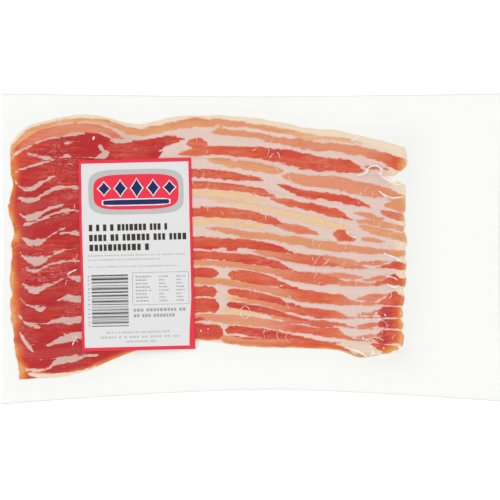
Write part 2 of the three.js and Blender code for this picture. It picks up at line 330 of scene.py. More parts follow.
UPPER_MUSCLES = {
    0: [
        [(-158, 0.14, 0.34, PEACH), (-146, 0.11, 0.28, PEACH), (-136, 0.07, 0.2, 0.8),
         (-124, 0.06, 0.16, PEACH), (-113, 0.08, 0.16, 0.76), (-97, 0.09, 0.19, PEACH),
         (-88, 0.07, 0.205, ORANGE), (-75, 0.106, 0.27, ORANGE), (-65, 0.1, 0.3, ORANGE),
         (-50, 0.12, 0.3, ORANGE), (-37, 0.075, 0.25, ORANGE), (-8, 0.13, 0.25, ORANGE),
         (30, 0.13, 0.25, PEACH), (50, 0.17, 0.26, PEACH), (71, 0.16, 0.19, PEACH)],
        [(-158, 0.3, 0.58, 0.36), (-146, 0.26, 0.5, 0.38), (-136, 0.19, 0.43, 0.42),
         (-124, 0.18, 0.42, 0.45), (-113, 0.19, 0.41, 0.44), (-97, 0.22, 0.39, 0.42),
         (-88, 0.27, 0.44, 0.4), (-83, 0.34, 0.43, 0.45)],
        [(-27, 0.32, 0.45, 0.62), (-8, 0.33, 0.47, 0.62), (16, 0.35, 0.5, 0.58),
         (30, 0.31, 0.5, SALMON), (56, 0.31, 0.49, SALMON), (70, 0.3, 0.52, SALMON),
         (82, 0.3, 0.6, 0.4), (92, 0.34, 0.82, 0.3), (98.5, 0.4, 0.8, PEACH)],
        [(-158, 0.6, 1.05, 0.4), (-146, 0.5, 1.05, 0.12), (-129, 0.44, 1.05, RED),
         (-113, 0.43, 1.05, RED), (-97, 0.41, 1.05, RED), (-88, 0.55, 1.05, 0.1),
         (-81, 0.475, 1.05, 0.12), (-75, 0.4, 1.05, 0.12), (-65, 0.38, 1.05, 0.05),
         (-56, 0.41, 0.68, RED), (-43.5, 0.49, 0.6, 0.1)],
        [(-42.5, 0.52, 0.8, 0.35), (-35, 0.5, 0.8, 0.25), (-28, 0.58, 0.78, 0.3)],
        [(-47, 0.82, 0.95, 0.3), (-30, 0.72, 0.9, 0.3), (-19, 0.71, 0.93, 0.2), (-2, 0.7, 0.94, 0.14),
         (20, 0.61, 0.93, 0.08), (37, 0.62, 0.98, 0.08), (50, 0.66, 1.0, 0.14), (62, 0.66, 1.0, 0.2),
         (73, 0.85, 0.97, 0.3)],
        [(72, 0.74, 0.84, 0.4), (88, 0.76, 0.86, 0.35)],
    ],
    1: [
        RED_LEFT,
        [(-29, -0.05, 0.16, ORANGE), (-17, 0.04, 0.3, ORANGE), (-2, 0.07, 0.4, 0.62),
         (20, 0.05, 0.37, ORANGE)],
        [(18, 0.2, 0.52, 0.62), (37, 0.13, 0.5, 0.58), (56, 0.12, 0.56, 0.52), (72, 0.25, 0.65, SALMON),
         (85, 0.33, 0.66, 0.5), (98, 0.5, 0.85, PEACH)],
        [(-60, 0.45, 0.82, 0.15), (-17, 0.52, 0.86, 0.2), (-2, 0.6, 0.78, 0.22), (7, 0.66, 0.74, 0.25)],
        [(16, 0.62, 0.8, 0.2), (30, 0.7, 0.98, 0.12), (43, 0.7, 1.0, 0.1), (59, 0.7, 1.0, 0.15),
         (76, 0.9, 1.0, 0.3)],
        [(84, 0.72, 0.95, 0.45), (98, 0.7, 1.0, PEACH)],
    ],
    2: [
        RED_LEFT,
        [(-45, -0.05, 0.48, 0.3), (-17, 0.0, 0.42, 0.3), (-2, 0.02, 0.4, 0.28), (10, 0.1, 0.42, 0.28),
         (15.5, 0.2, 0.4, 0.3)],
        [(-45, 0.5, 0.9, CREAM), (-17, 0.5, 0.88, CREAM), (8, 0.55, 0.85, CREAM)],
        [(12, 0.42, 0.56, 0.4), (30, 0.3, 0.72, 0.32), (43, 0.24, 0.74, 0.26), (56, 0.4, 0.9, 0.3),
         (64, 0.76, 0.95, 0.3)],
        [(65, 0.3, 0.55, 0.6), (85, 0.32, 0.6, 0.55)],
        [(82, -0.1, 0.3, 0.4), (90, -0.15, 0.4, 0.35), (98, 0.0, 0.4, PEACH)],
        [(66, 0.68, 1.0, 0.66), (85, 0.6, 1.05, 0.64), (98, 0.6, 1.05, PEACH)],
    ],
    3: [
        RED_LEFT,
        [(-29, -0.05, 0.1, CREAM), (-17, 0.0, 0.12, CREAM), (-2, 0.0, 0.16, CREAM),
         (20, 0.04, 0.25, CREAM), (43, 0.12, 0.4, CREAM), (62, 0.2, 0.4, CREAM)],
        [(-45, 0.42, 0.7, 0.3), (-17, 0.31, 0.68, 0.3), (-2, 0.31, 0.62, 0.26), (14, 0.43, 0.72, 0.28),
         (22, 0.66, 0.74, 0.3)],
        [(-45, 0.76, 0.95, CREAM), (-17, 0.74, 0.94, CREAM), (10, 0.8, 0.94, CREAM)],
        [(13, 0.6, 0.75, 0.5), (30, 0.55, 0.86, 0.42), (42, 0.7, 0.85, 0.45)],
        [(52, 0.5, 0.9, 0.35), (58, 0.45, 1.0, 0.22), (66, 0.7, 1.0, 0.3)],
        [(68, 0.0, 0.3, 0.66), (85, -0.1, 0.45, 0.66), (98.5, -0.1, 0.6, PEACH)],
        [(70, 0.68, 0.95, 0.6), (86, 0.66, 0.95, 0.62)],
    ],
    4: [
        RED_LEFT,
        [(-30, 0.1, 0.42, 0.62), (-2, 0.35, 0.8, 0.62), (30, 0.15, 0.68, 0.6), (43, 0.18, 0.9, 0.58),
         (59, 0.28, 0.98, 0.56), (72, 0.36, 1.05, 0.52), (86, 0.4, 1.0, 0.55), (98, 0.3, 1.0, PEACH)],
    ],
}

# %% [markdown]
# The rule from the sixth on: beside the label a block of lean that may stop short, then a red muscle that
# thins out to a point, under it one that starts as a thin orange band and swells to red further on,
# and then broad fat with a small lens of lean and a red tip, orange right at its end.

# %% The lower rashers' muscles
BLOCK_ENDS = {5: -8, 6: -10, 7: -22, 8: -23, 9: -21, 10: -30, 11: -19}
BAND_STARTS = {5: 0, 6: -50, 7: -50, 8: -18, 9: 12, 10: -26, 11: -22}
RED_POINTS = {5: 26, 6: 27, 7: 29, 8: 31, 9: 34, 10: -26, 11: 36}
SWELL_ENDS = {5: 53, 6: 54, 7: 57, 8: 56, 9: 57, 10: 57, 11: 57}


def usual_muscles(k):
    """The rule, with small shifts by chance so that no two rashers are alike."""
    chance = np.random.default_rng(300 + k)

    def shift(size):
        return chance.uniform(-size, size)

    block = BLOCK_ENDS[k]
    floor = 0.58 if k in (6, 7) else 0.9
    point = RED_POINTS[k]
    swell = SWELL_ENDS[k]
    thin = 0.8 if k < 8 else 0.86
    start_warmth = {8: CREAM, 9: PEACH}.get(k, ORANGE)
    return [
        [(-170, -1, 2, RED), (-60, -1, 2, RED), (-44, 0.05, floor, 0.12), (block, 0.12, floor - 0.04, 0.2)],
        [(-16 + shift(1.5), 0.12, 0.52, 0.18), (-2, 0.06, 0.6 + shift(0.06), 0.16),
         (12, 0.06, 0.52, 0.14), (point, 0.32, 0.42, 0.2)],
        [(BAND_STARTS[k], 0.6, 0.92, start_warmth), (-2, 0.66, 0.94, 0.62), (17, 0.54, 0.94, 0.45),
         (30, 0.38, 0.93, 0.3), (44, 0.36 + shift(0.05), 0.94, 0.28), (swell, 0.46, 0.95, 0.36),
         (swell + 5 + shift(2), 0.72, 0.9, 0.42)],
        [(swell, thin, 0.98, 0.4), (swell + 18, thin, 0.96, 0.42), (swell + 24, 0.86, 0.94, 0.42)],
        [(68 + shift(2), 0.6, 0.7, 0.5), (77, 0.42 + shift(0.06), 0.68, 0.42),
         (87 + shift(1), 0.24, 0.5, 0.5)],
        [(79 + shift(2), 0.78, 0.94, 0.3), (87 + shift(1), 0.5 + shift(0.1), 1.0, 0.25),
         (91, 0.2 + shift(0.12), 1.05, 0.2), (94.5, 0.3 + shift(0.1), 1.05, 0.35),
         (98.5, 0.42, 1.05, 0.6)],
    ]


# What some of the lower rashers have besides.
SPECIAL_MUSCLES = {
    5: [
        [(44, 0.3, 0.7, 0.5), (56, 0.36, 0.84, 0.5), (66, 0.5, 0.9, 0.52), (72, 0.7, 0.85, 0.5)],
    ],
    6: [
        [(46, 0.24, 0.5, 0.5), (60, 0.26, 0.56, 0.5), (71, 0.4, 0.52, 0.52)],
        [(58, 0.72, 0.95, 0.42), (68, 0.72, 0.96, 0.45), (78, 0.8, 0.95, 0.5)],
    ],
    8: [
        [(79, 0.3, 0.7, 0.15), (86, -0.1, 1.05, 0.02), (97, 0.0, 1.05, 0.4)],
    ],
    9: [
        [(-20, 0.55, 1.0, CREAM), (-8, 0.5, 1.0, CREAM), (4, 0.6, 1.0, CREAM)],
        [(79, 0.3, 0.7, 0.15), (86, -0.1, 1.05, 0.04), (97, 0.0, 1.05, 0.5)],
    ],
    10: [
        [(-60, 0.1, 0.75, 0.62), (-2, 0.05, 0.65, 0.58), (14, -0.05, 0.7, 0.42),
         (30, -0.3, 0.86, 0.26), (48, -0.3, 0.84, 0.24), (57, 0.1, 0.6, 0.3)],
        [(76, 0.5, 0.8, 0.1), (84, -0.1, 1.05, 0.0), (97, 0.0, 1.05, 0.4)],
    ],
    11: [
        [(77, -0.1, 0.3, 0.1), (84, -0.2, 0.8, 0.0), (88, -0.2, 1.05, 0.0), (94.5, -0.1, 1.05, 0.5)],
        [(-125, 0.42, 0.8, 0.5), (-114, 0.4, 0.86, 0.42), (-102, 0.46, 0.8, 0.5)],
        [(57, 0.8, 1.0, 0.8), (64, 0.8, 1.0, 0.72), (74, 0.88, 1.0, 0.8)],
    ],
}

# %% [markdown]
# Where the lean is broad, it is the fat that is drawn, as pale eyes in the red: a thin line, most often
# rising to the right, with one thick place in it. Most lie at the left end, and some run on under the
# label.

# %% Eyes of fat
# Half the line's thickness, half the thick place's, where that lies, half its length, and the line.
EYES = [
    (0.8, 1.1, -113, 5, [(-154, 59.7), (-145, 64.7), (-134, 69.5), (-125, 72), (-116, 73.4), (-105, 74.6)]),
    (0.6, 1.0, -131, 3, [(-145, 61.1), (-138, 59.6), (-131, 57.9), (-126, 57.6)]),
    (0.55, 0.5, -112, 4, [(-121, 67.3), (-116, 68.6), (-109, 69)]),
    (0.75, 0.6, -120, 6, [(-153, 49.2), (-143, 52.8), (-131, 56), (-120, 59), (-115, 59)]),
    (0.8, 2.4, -94, 4, [(-101, 58.2), (-97, 59.2), (-92, 61.2)]),
    (0.9, 2.2, -95.5, 3, [(-99, 66.4), (-96.5, 64.3), (-94.5, 62)]),
    (0.8, 1.9, -52, 5, [(-60, 62.5), (-52, 64.9), (-45, 67)]),
    (0.75, 2.1, -138, 4,
     [(-152.5, 43.7), (-149, 39.5), (-143, 38.2), (-137, 41), (-131, 44.8), (-125.5, 47.2)]),
    (1.2, 1.8, -141, 5, [(-150, 33), (-144, 31.2), (-139, 31.8), (-131, 36.8), (-122, 39.5), (-110, 39.6)]),
    (0.8, 2.6, -140.5, 5, [(-150, 22.7), (-144.5, 20), (-137, 21.6), (-130, 25.6), (-121, 28.3)]),
    (1, 1.3, -143, 4, [(-147, 14.9), (-139, 17), (-130, 21.6), (-122, 24.1), (-116, 24.6), (-108, 23)]),
    (0.85, 2.5, -139.5, 6, [(-148, 6.7), (-142, 4.4), (-135, 4.8), (-126, 10.6), (-119.5, 13.3)]),
    (0.7, 1.8, -107, 9, [(-124, 9.9), (-115, 10.1), (-105, 9.9)]),
    (0.95, 2.8, -138, 6, [(-149, -2.5), (-144, -7), (-138, -8.1), (-132, -6.2), (-126, -3), (-120, -0.4)]),
    (0.9, 1.2, -138, 4, [(-145, -13.2), (-138, -13.8), (-130, -10.2), (-122, -8.3), (-108, -7.6)]),
    (0.75, 2.6, -139, 5.5,
     [(-148, -21.7), (-143, -25.3), (-137, -25.8), (-131, -23.6), (-124, -20.4), (-117, -17.1)]),
    (0.8, 2.2, -109, 7, [(-118.5, -18.3), (-112, -19.2), (-105, -19.4)]),
    (0.9, 2.2, -135.5, 4, [(-149, -31.3), (-146, -34.6), (-141, -37), (-135.5, -38.3), (-131.5, -37)]),
    (0.8, 2.5, -113, 9, [(-125.5, -32.8), (-119, -31), (-112, -32), (-105, -32.6)]),
    (1.2, 1.6, -140, 5, [(-151, -41), (-148, -44.5), (-144, -48), (-135.5, -50)]),
    (0.8, 2.5, -114, 14, [(-132, -47.5), (-123, -45.3), (-116, -45.8), (-105, -44)]),
    (1.5, 2.1, -144.5, 4, [(-150, -52.8), (-145, -60.2), (-139.5, -66.4)]),
    (1, 2.6, -116, 13, [(-132, -62), (-122, -58.2), (-113, -55.5), (-105, -54)]),
    (1.2, 2.8, -119, 9,
     [(-147, -76.4), (-139, -78), (-131, -76.4), (-125, -72.2), (-117, -70.6), (-99, -68)]),
    (1.3, 2.3, -127, 14, [(-144, -80.2), (-133, -82), (-117, -80.2), (-100, -75.5)]),
    (0.6, 1.3, -7, 8, [(-19, -54.5), (-10, -55.2), (10, -57.7)]),
    (1.6, 4.2, 70, 9, [(53, -60.4), (62, -62.4), (72, -64.4), (84, -66.2)]),
]


def lean_and_warmth(k, x, y):
    """Distance into the lean in mm, and the warmth, at points of rasher k."""
    share = strip_share(k, x, y)
    strip = strip_top(k, x) - lower_edge(k, x)
    muscles = UPPER_MUSCLES.get(k) or usual_muscles(k) + SPECIAL_MUSCLES.get(k, [])
    lean = np.full(x.shape, -9.0)
    warmth = np.full(x.shape, 0.3)
    for stations in muscles:
        distance, warm = muscle_distance(x, share, strip, stations)
        nearer = distance > lean
        lean = np.where(nearer, distance, lean)
        warmth = np.where(nearer, warm, warmth)
    for eye in EYES:
        lean = np.minimum(lean, -eye_distance(x, y, *eye))
    # A thin line of fat runs along the lower edge, broader right of the label.
    if k < LAST:
        rim = mix(0.3, 1.15, smooth((x + 60) / 30)) + 0.4 * soft_noise(140 + k, x, y, 8, 30)
        rim = rim * smooth((x + 147) / 16)
        lean = np.minimum(lean, (y - lower_edge(k, x)) - rim)
    ragged = 0.55 * soft_noise(160 + k, x, y, 6.5, 2.2) + 0.42 * soft_noise(180 + k, x, y, 2.4, 1.2)
    drift = 0.07 * soft_noise(200 + k, x, y, 24, 5)
    # Right of the label no lean is as dark as at the left end, and the lean is a little fuller there.
    warmth = np.maximum(warmth, 0.2 * smooth((x + 62) / 20) * smooth((86 - x) / 6))
    right_of_label = smooth((x + 20) / 20) * smooth((72 - x) / 14)
    fuller = mix(0.14, 0.42, k / LAST) + 0.24 * right_of_label * smooth(k / 3)
    leaner = 0.3 * smooth((x - 76) / 10) * smooth((9 - k) / 3)
    return lean + ragged + fuller - leaner, warmth + drift


print("muscles drawn on", LAST + 1, "rashers")

# %% [markdown]
# ## Colours
# The colours are what a light meter would read off the pack in even light. They are written as screen
# colours, which is how a painter picks them, and turned into the linear values a renderer adds up.
# The lamps leave a fully white card a little short of white, so each paint is made that much lighter.

# %% Paint and node helpers
LIGHT_LEVEL = 0.93


def paint(red, green, blue):
    screen = np.array([red, green, blue]) / 255
    linear = np.where(screen <= 0.04045, screen / 12.92, ((screen + 0.055) / 1.055) ** 2.4)
    return tuple(float(v) / LIGHT_LEVEL for v in linear) + (1.0,)


class Wiring:
    """Adds nodes to a node tree, each in one call with its settings and what goes into it."""

    def __init__(self, tree):
        self.tree = tree

    def node(self, kind, inputs, **settings):
        """The new node's outputs. Settings come first, as they decide which sockets a node has."""
        node = self.tree.nodes.new(kind)
        for name, value in settings.items():
            setattr(node, name, value)
        for key, value in inputs.items():
            if isinstance(value, bpy.types.NodeSocket):
                self.tree.links.new(value, node.inputs[key])
            else:
                node.inputs[key].default_value = value
        return node.outputs


class Painter(Wiring):
    """Builds one material's nodes, so that each step below reads as one line."""

    def __init__(self, name):
        self.material = bpy.data.materials.new(name)
        self.material.use_nodes = True
        super().__init__(self.material.node_tree)
        self.tree.nodes.clear()

    def number(self, name):
        """A number that the mesh carries."""
        return self.node("ShaderNodeAttribute", {}, attribute_name=name)["Fac"]

    def noise(self, scale, detail=3.0, rough=0.55):
        """Noise in object coordinates, which are stretched by scale along each axis."""
        coords = self.node("ShaderNodeTexCoord", {})
        place = self.node("ShaderNodeMapping", {"Vector": coords["Object"], "Scale": scale})
        inputs = {"Vector": place["Vector"], "Scale": 1.0, "Detail": detail, "Roughness": rough}
        return self.node("ShaderNodeTexNoise", inputs)["Fac"]

    def math(self, kind, a, b=0.0, c=0.0):
        return self.node("ShaderNodeMath", {0: a, 1: b, 2: c}, operation=kind)[0]

    def step(self, value, low, high, out_low=0.0, out_high=1.0):
        """A soft step from out_low to out_high as the value goes from low to high."""
        inputs = {"Value": value, "From Min": low, "From Max": high, "To Min": out_low, "To Max": out_high}
        return self.node("ShaderNodeMapRange", inputs, interpolation_type="SMOOTHSTEP")["Result"]

    def ramp(self, value, stops):
        node = self.tree.nodes.new("ShaderNodeValToRGB")
        while len(node.color_ramp.elements) < len(stops):
            node.color_ramp.elements.new(0.5)
        for element, (at, colour) in zip(node.color_ramp.elements, stops):
            element.position = at
            element.color = colour
        self.tree.links.new(value, node.inputs["Fac"])
        return node.outputs["Color"]

    def blend(self, amount, a, b, kind="MIX"):
        """Inputs 6 and 7 and output 2 of this node are its colours."""
        inputs = {"Factor": amount, 6: a, 7: b}
        return self.node("ShaderNodeMix", inputs, data_type="RGBA", blend_type=kind)[2]

    def toned(self, colour, level):
        """A colour made lighter or darker by a level around 1."""
        grey = self.node("ShaderNodeCombineColor", {0: level, 1: level, 2: level})
        return self.blend(1.0, colour, grey["Color"], "MULTIPLY")

    def bump(self, height, distance, strength=1.0):
        inputs = {"Height": height, "Distance": distance, "Strength": strength}
        return self.node("ShaderNodeBump", inputs)["Normal"]

    def surface(self, shader):
        """Ends the material with a shader."""
        self.node("ShaderNodeOutputMaterial", {"Surface": shader[0]})
        return self.material

    def skin(self, colour, roughness, specular, **more):
        """Ends the material with a plain surface."""
        inputs = {"Base Color": colour, "Roughness": roughness, "Specular IOR Level": specular, **more}
        return self.surface(self.node("ShaderNodeBsdfPrincipled", inputs))


# %% [markdown]
# The meat's material reads numbers that the mesh carries, first the distance into the lean and the
# warmth. Fine noise is added to the distance before the border is drawn, which frays it as real fat
# frays into lean. The grain runs along the rasher, so its noise is stretched that way. Threads of
# marbling are the thin places where another stretched noise passes its middle value. Near the pile's
# outline little meat lies over the white table and more light comes through, so one number turns the
# lean orange there and another makes the fat warmer. A last one gives the fat left of the label's
# middle a faint blush.

# %% Bacon material
def bacon_material():
    p = Painter("bacon")
    lean = p.number("lean")
    warmth = p.number("warmth")
    edge = p.number("edge")
    fray = p.math("SUBTRACT", p.noise((420, 900, 900), 3.0), 0.5)
    fingers = p.math("SUBTRACT", p.noise((130, 640, 640), 2.0), 0.5)
    mottle = p.math("MULTIPLY_ADD", p.noise((700, 1000, 1000), 4.0, 0.7), 0.4, 0.8)
    frayed = p.math("MULTIPLY_ADD", fingers, 2.2, p.math("MULTIPLY_ADD", fray, 1.9, lean))
    amount = p.step(frayed, -0.34, 0.34)
    grain = p.math("SUBTRACT", p.noise((90, 620, 620), 4.0, 0.6), 0.5)
    warm = p.math("MULTIPLY_ADD", grain, 0.42, warmth)
    lean_colour = p.ramp(warm, [
        (0.0, paint(183, 46, 48)),
        (0.14, paint(205, 74, 60)),
        (0.3, paint(217, 104, 72)),
        (0.5, paint(221, 142, 112)),
        (0.68, paint(222, 151, 106)),
        (0.84, paint(228, 174, 126)),
        (1.0, paint(232, 198, 160)),
    ])
    # Painted light: near the pile's outline the lean is turned orange, standing in for light from the white
    # table coming through thin meat.
    rim_colour = p.ramp(p.math("MULTIPLY_ADD", grain, 0.5, edge), [
        (0.12, paint(206, 66, 44)),
        (0.42, paint(214, 92, 52)),
        (0.75, paint(222, 130, 68)),
        (1.0, paint(232, 168, 100)),
    ])
    at_rim = p.step(edge, 0.04, 0.5, 0.0, 0.94)
    rim_amount = p.math("MULTIPLY", at_rim, p.step(warmth, 0.3, 0.75, 1.0, 0.3))
    lean_colour = p.blend(rim_amount, lean_colour, rim_colour)
    thread = p.math("ABSOLUTE", p.math("SUBTRACT", p.noise((110, 420, 420), 5.0, 0.62), 0.5))
    in_patches = p.step(p.noise((35, 60, 60), 2.0), 0.42, 0.7, 0.0, 0.75)
    marbling = p.math("MULTIPLY", p.step(thread, 0.0, 0.018, 1.0, 0.0), in_patches)
    lean_colour = p.blend(marbling, lean_colour, paint(222, 160, 148))
    # Painted light, partly rind: fat near the pile's outline is made warmer, standing in for light coming
    # through it from the white table.
    fat_warm = p.math("MULTIPLY_ADD", grain, 0.4, p.number("rind_and_light_through"))
    fat_colour = p.ramp(fat_warm, [
        (0.0, paint(226, 199, 191)),
        (0.35, paint(233, 209, 192)),
        (0.8, paint(236, 216, 192)),
    ])
    fat_colour = p.blend(p.math("MULTIPLY", p.number("blush"), 0.6), fat_colour, paint(198, 160, 150))
    pink = p.step(lean, -1.0, 0.1, 0.0, 0.55)
    fat_colour = p.blend(pink, fat_colour, paint(222, 176, 166))
    colour = p.blend(amount, fat_colour, lean_colour)
    colour = p.blend(p.step(amount, 0.0, 1.0, 0.35, 1.0), colour, p.toned(colour, mottle))
    relief = p.math("MULTIPLY_ADD", amount, -0.4, p.noise((260, 900, 900), 3.0))
    return p.skin(colour, 0.45, 0.25, Normal=p.bump(relief, 0.00014, 0.5))


BACON = bacon_material()

# %% [markdown]
# ## From slice to mesh
# Each rasher is one closed body. A grid of points runs along it and across it, close together where
# the strip shows and further apart where the neighbour hides it. The grid's top is the bed plus the
# slice's thickness, its underside is the bed, and both meet at the rim, where the thickness is zero.

# %% Making closed bodies from grids
def mesh_object(name, points, faces, material, numbers=None):
    """A smooth mesh from points in millimetres, with named numbers on its points."""
    mesh = bpy.data.meshes.new(name)
    mesh.from_pydata((np.asarray(points) * MM).tolist(), [], np.asarray(faces).tolist())
    for key, values in (numbers or {}).items():
        layer = mesh.attributes.new(key, "FLOAT", "POINT")
        layer.data.foreach_set("value", np.asarray(values, np.float32).ravel())
    mesh.materials.append(material)
    mesh.shade_smooth()
    obj = bpy.data.objects.new(name, mesh)
    bpy.context.scene.collection.objects.link(obj)
    return obj


def grid_faces(ids):
    """Faces between the neighbours in a grid of point numbers."""
    a, b, c, d = ids[:-1, :-1], ids[:-1, 1:], ids[1:, 1:], ids[1:, :-1]
    return np.stack([a, b, c, d], -1).reshape(-1, 4)


def pillow(x, y, low, high):
    """Points and faces of a closed body whose upper and lower grids share their rim."""
    rows, columns = x.shape
    upper = np.arange(rows * columns).reshape(rows, columns)
    lower = upper.copy()
    inner = (rows - 2) * (columns - 2)
    lower[1:-1, 1:-1] = rows * columns + np.arange(inner).reshape(rows - 2, columns - 2)
    top = np.stack([x, y, high], -1).reshape(-1, 3)
    under = np.stack([x, y, low], -1)[1:-1, 1:-1].reshape(-1, 3)
    faces = np.vstack([grid_faces(upper), grid_faces(lower)[:, ::-1]])
    return np.vstack([top, under]), faces


def pillow_numbers(values):
    """A grid's numbers in the order of a pillow's points, the same above and below."""
    return np.concatenate([values.ravel(), values[1:-1, 1:-1].ravel()])


def rows_of(k):
    """Shares of the way up the part that shows, then of the way on under the neighbour."""
    near_edge = np.array([0, 0.004, 0.012, 0.024, 0.04])
    if k == 0:
        showing = np.concatenate([near_edge, np.linspace(0.06, 0.94, 60), 1 - near_edge[::-1]])
        return showing, np.empty(0)
    showing = np.concatenate([near_edge, np.linspace(0.06, 1, 48)])
    return showing, np.array([0.15, 0.4, 0.65, 0.84, 0.95, 1.0])


def row_lines(k, x, showing, tucked):
    """The y of every row of the grid; the part that shows ends a little way under the neighbour."""
    n = len(showing)
    low = lower_edge(k, x)
    high = upper_edge(k, x)
    turn = high if k == 0 else np.minimum(strip_top(k, x) + 1.6, high - 0.4)
    return np.vstack([mix(low[:n], turn[:n], showing[:, None]), mix(turn[n:], high[n:], tucked[:, None])])


def rasher(k):
    inner = mix(0.009, 0.991, np.linspace(0, 1, 300))
    along = np.concatenate([[0, 0.0012, 0.003, 0.0055], inner, [0.9945, 0.997, 0.9988, 1]])
    showing, tucked = rows_of(k)
    x = np.ones((len(showing) + len(tucked), 1)) * mix(-155, RIGHT_TIPS[k], along)
    for _ in range(3):  # the ends depend on y and y on x, so both are worked out a few times
        y = row_lines(k, x, showing, tucked)
        share = strip_share(k, x, y)
        left = left_end(y) + end_setback(k, share, -1) - end_wobble(k, y)
        right = RIGHT_TIPS[k] - end_setback(k, share, 1) + end_wobble(k, y)
        x = mix(left, right, along)
    y = row_lines(k, x, showing, tucked)
    bed = read_map(beds[k], x, y)
    thick = slice_thickness(k, x, y)
    thick[0] = thick[-1] = 0
    thick[:, 0] = thick[:, -1] = 0
    lean, warmth = lean_and_warmth(k, x, y)
    relief = -0.12 * np.clip(lean, 0, 1) * rounded(inside_distance(k, x, y) / 1.5)
    at_left = smooth((-124 - x) / 14)
    near = mix(read_map(cover, x, y), read_map(wide_cover, x, y), at_left + smooth((x - 76) / 12))
    patchy = 1 + mix(0.4, 0.7, at_left) * soft_noise(220, x, y, 7, 6)
    # Painted light, partly rind: fat near the pile's outline warms, standing in for light from the white
    # table; along the top it is also rind.
    rind_and_light_through = np.clip((0.97 - read_map(wide_cover, x, y)) * 3.0, 0, 1)
    fields = {
        "lean": lean,
        "warmth": warmth,
        "edge": np.clip((0.97 - near) * 2.05 * patchy, 0, 1),
        "blush": smooth((-60 - x) / 30) * (1 - rind_and_light_through),
        "rind_and_light_through": rind_and_light_through,
    }
    points, faces = pillow(x, y, bed, bed + thick + relief)
    numbers = {key: pillow_numbers(values) for key, values in fields.items()}
    return mesh_object(f"rasher_{k + 1}", points, faces, BACON, numbers)


rashers = [rasher(k) for k in range(LAST + 1)]
print("rashers made, faces:", sum(len(o.data.polygons) for o in rashers))

# %% [markdown]
# ## The film
# Under vacuum the film is pressed onto the meat, but it can't follow a sharp inside corner, so it
# bridges each step, and at the pile's sides it comes down in a slope. The bridge is found by raising
# the height map to its highest neighbour and then lowering it again by the same reach, which fills
# only what is narrower than that reach. Outside the pile the two films lie on each other.

# %% Heights of the film
POUCH_LENGTH = 323
POUCH_WIDTH = 200
BOTTOM_PINCH = 9.6
TOP_PINCH = 1.9
END_PINCH = 1.74


def pinched(distance):
    """How far a side is drawn in: 1 at its middle, 0 at the pouch's corners."""
    return 1 - np.clip(np.abs(distance), 0, 1) ** 1.5


def pouch_top(x):
    return POUCH_WIDTH / 2 - TOP_PINCH * pinched(2 * x / POUCH_LENGTH)


def pouch_bottom(x):
    return -POUCH_WIDTH / 2 + BOTTOM_PINCH * pinched((x - 10) / (POUCH_LENGTH / 2 + 10))


def pouch_end(y):
    return POUCH_LENGTH / 2 - END_PINCH * pinched(2 * y / POUCH_WIDTH)


def highest_near(heights, reach):
    """Each place takes the greatest height within reach of it."""
    n = max(1, int(round(reach / CELL)))
    for axis in (0, 1):
        best = heights
        for i in range(1, n + 1):
            best = np.maximum(best, np.maximum(np.roll(heights, i, axis), np.roll(heights, -i, axis)))
        heights = best
    return heights


def film_heights():
    """The film's height over the pack, and how much the pile beside it shades it."""
    bridged = -highest_near(-highest_near(pile, 1.8), 1.8)
    # How far away from the pile each place lies, counted in rings of cells.
    away = np.full(pile.shape, 60.0)
    ring = covered
    for i in range(34):
        away = np.where((ring > 0.5) & (away > 59), i * CELL, away)
        ring = highest_near(ring, CELL)
    # The film comes down from the pile like a tent, higher and further at the right tips.
    to_right = smooth((plan_x - 56) / 42)
    reach = mix(4.5, 9, to_right)
    tent = mix(2.0, 3.4, to_right) * np.exp(-((away / reach) ** 1.3))
    ripple = 0.12 * soft_noise(7, plan_x, plan_y, 22, 9) * smooth(away / 6)
    flat = 0.42 + tent + ripple
    film = blurred(np.maximum(bridged, flat), 0.9)
    fading = np.exp(-away / mix(4, 6.5, to_right))
    shade = mix(0.6, 1, to_right) * fading * np.clip(1 - 1.6 * cover, 0, 1)
    return np.maximum(film, pile + 0.14), shade


film_map, shade_map = film_heights()
print("film reaches", round(float(film_map.max()), 2), "mm")

# %% [markdown]
# Film is drawn as a thin clear surface: nearly all light goes straight through with a faint warm tint,
# and a little is mirrored, more at a slant, as on any clear plastic. What is seen of it is therefore
# only its glints, so the small wrinkles in it matter more than its colour. Close to the pile the tint
# is a touch darker, since the meat keeps some of the light off the film and the table there.

# %% Film material and mesh
FILM_TINT = (0.9745, 0.9765, 0.965)
SHADED_TINT = tuple(0.962 * value for value in FILM_TINT)
FACE_ON_MIRROR = 0.018


def film_material():
    p = Painter("film")
    p.material.use_backface_culling = False
    tint = p.blend(p.number("shade"), (*FILM_TINT, 1.0), (*SHADED_TINT, 1.0))
    clear = p.node("ShaderNodeBsdfTransparent", {"Color": tint})
    crinkle = p.bump(p.noise((180, 240, 240)), 0.0002, 0.15)
    gloss = p.node("ShaderNodeBsdfGlossy", {"Roughness": 0.07, "Normal": crinkle})
    slant = p.node("ShaderNodeLayerWeight", {"Blend": 0.5})
    rising = p.math("POWER", slant["Facing"], 5.0)
    share = p.math("MINIMUM", p.math("MULTIPLY_ADD", rising, 0.9, FACE_ON_MIRROR), 1.0)
    return p.surface(p.node("ShaderNodeMixShader", {"Fac": share, 1: clear[0], 2: gloss[0]}))


FILM = film_material()


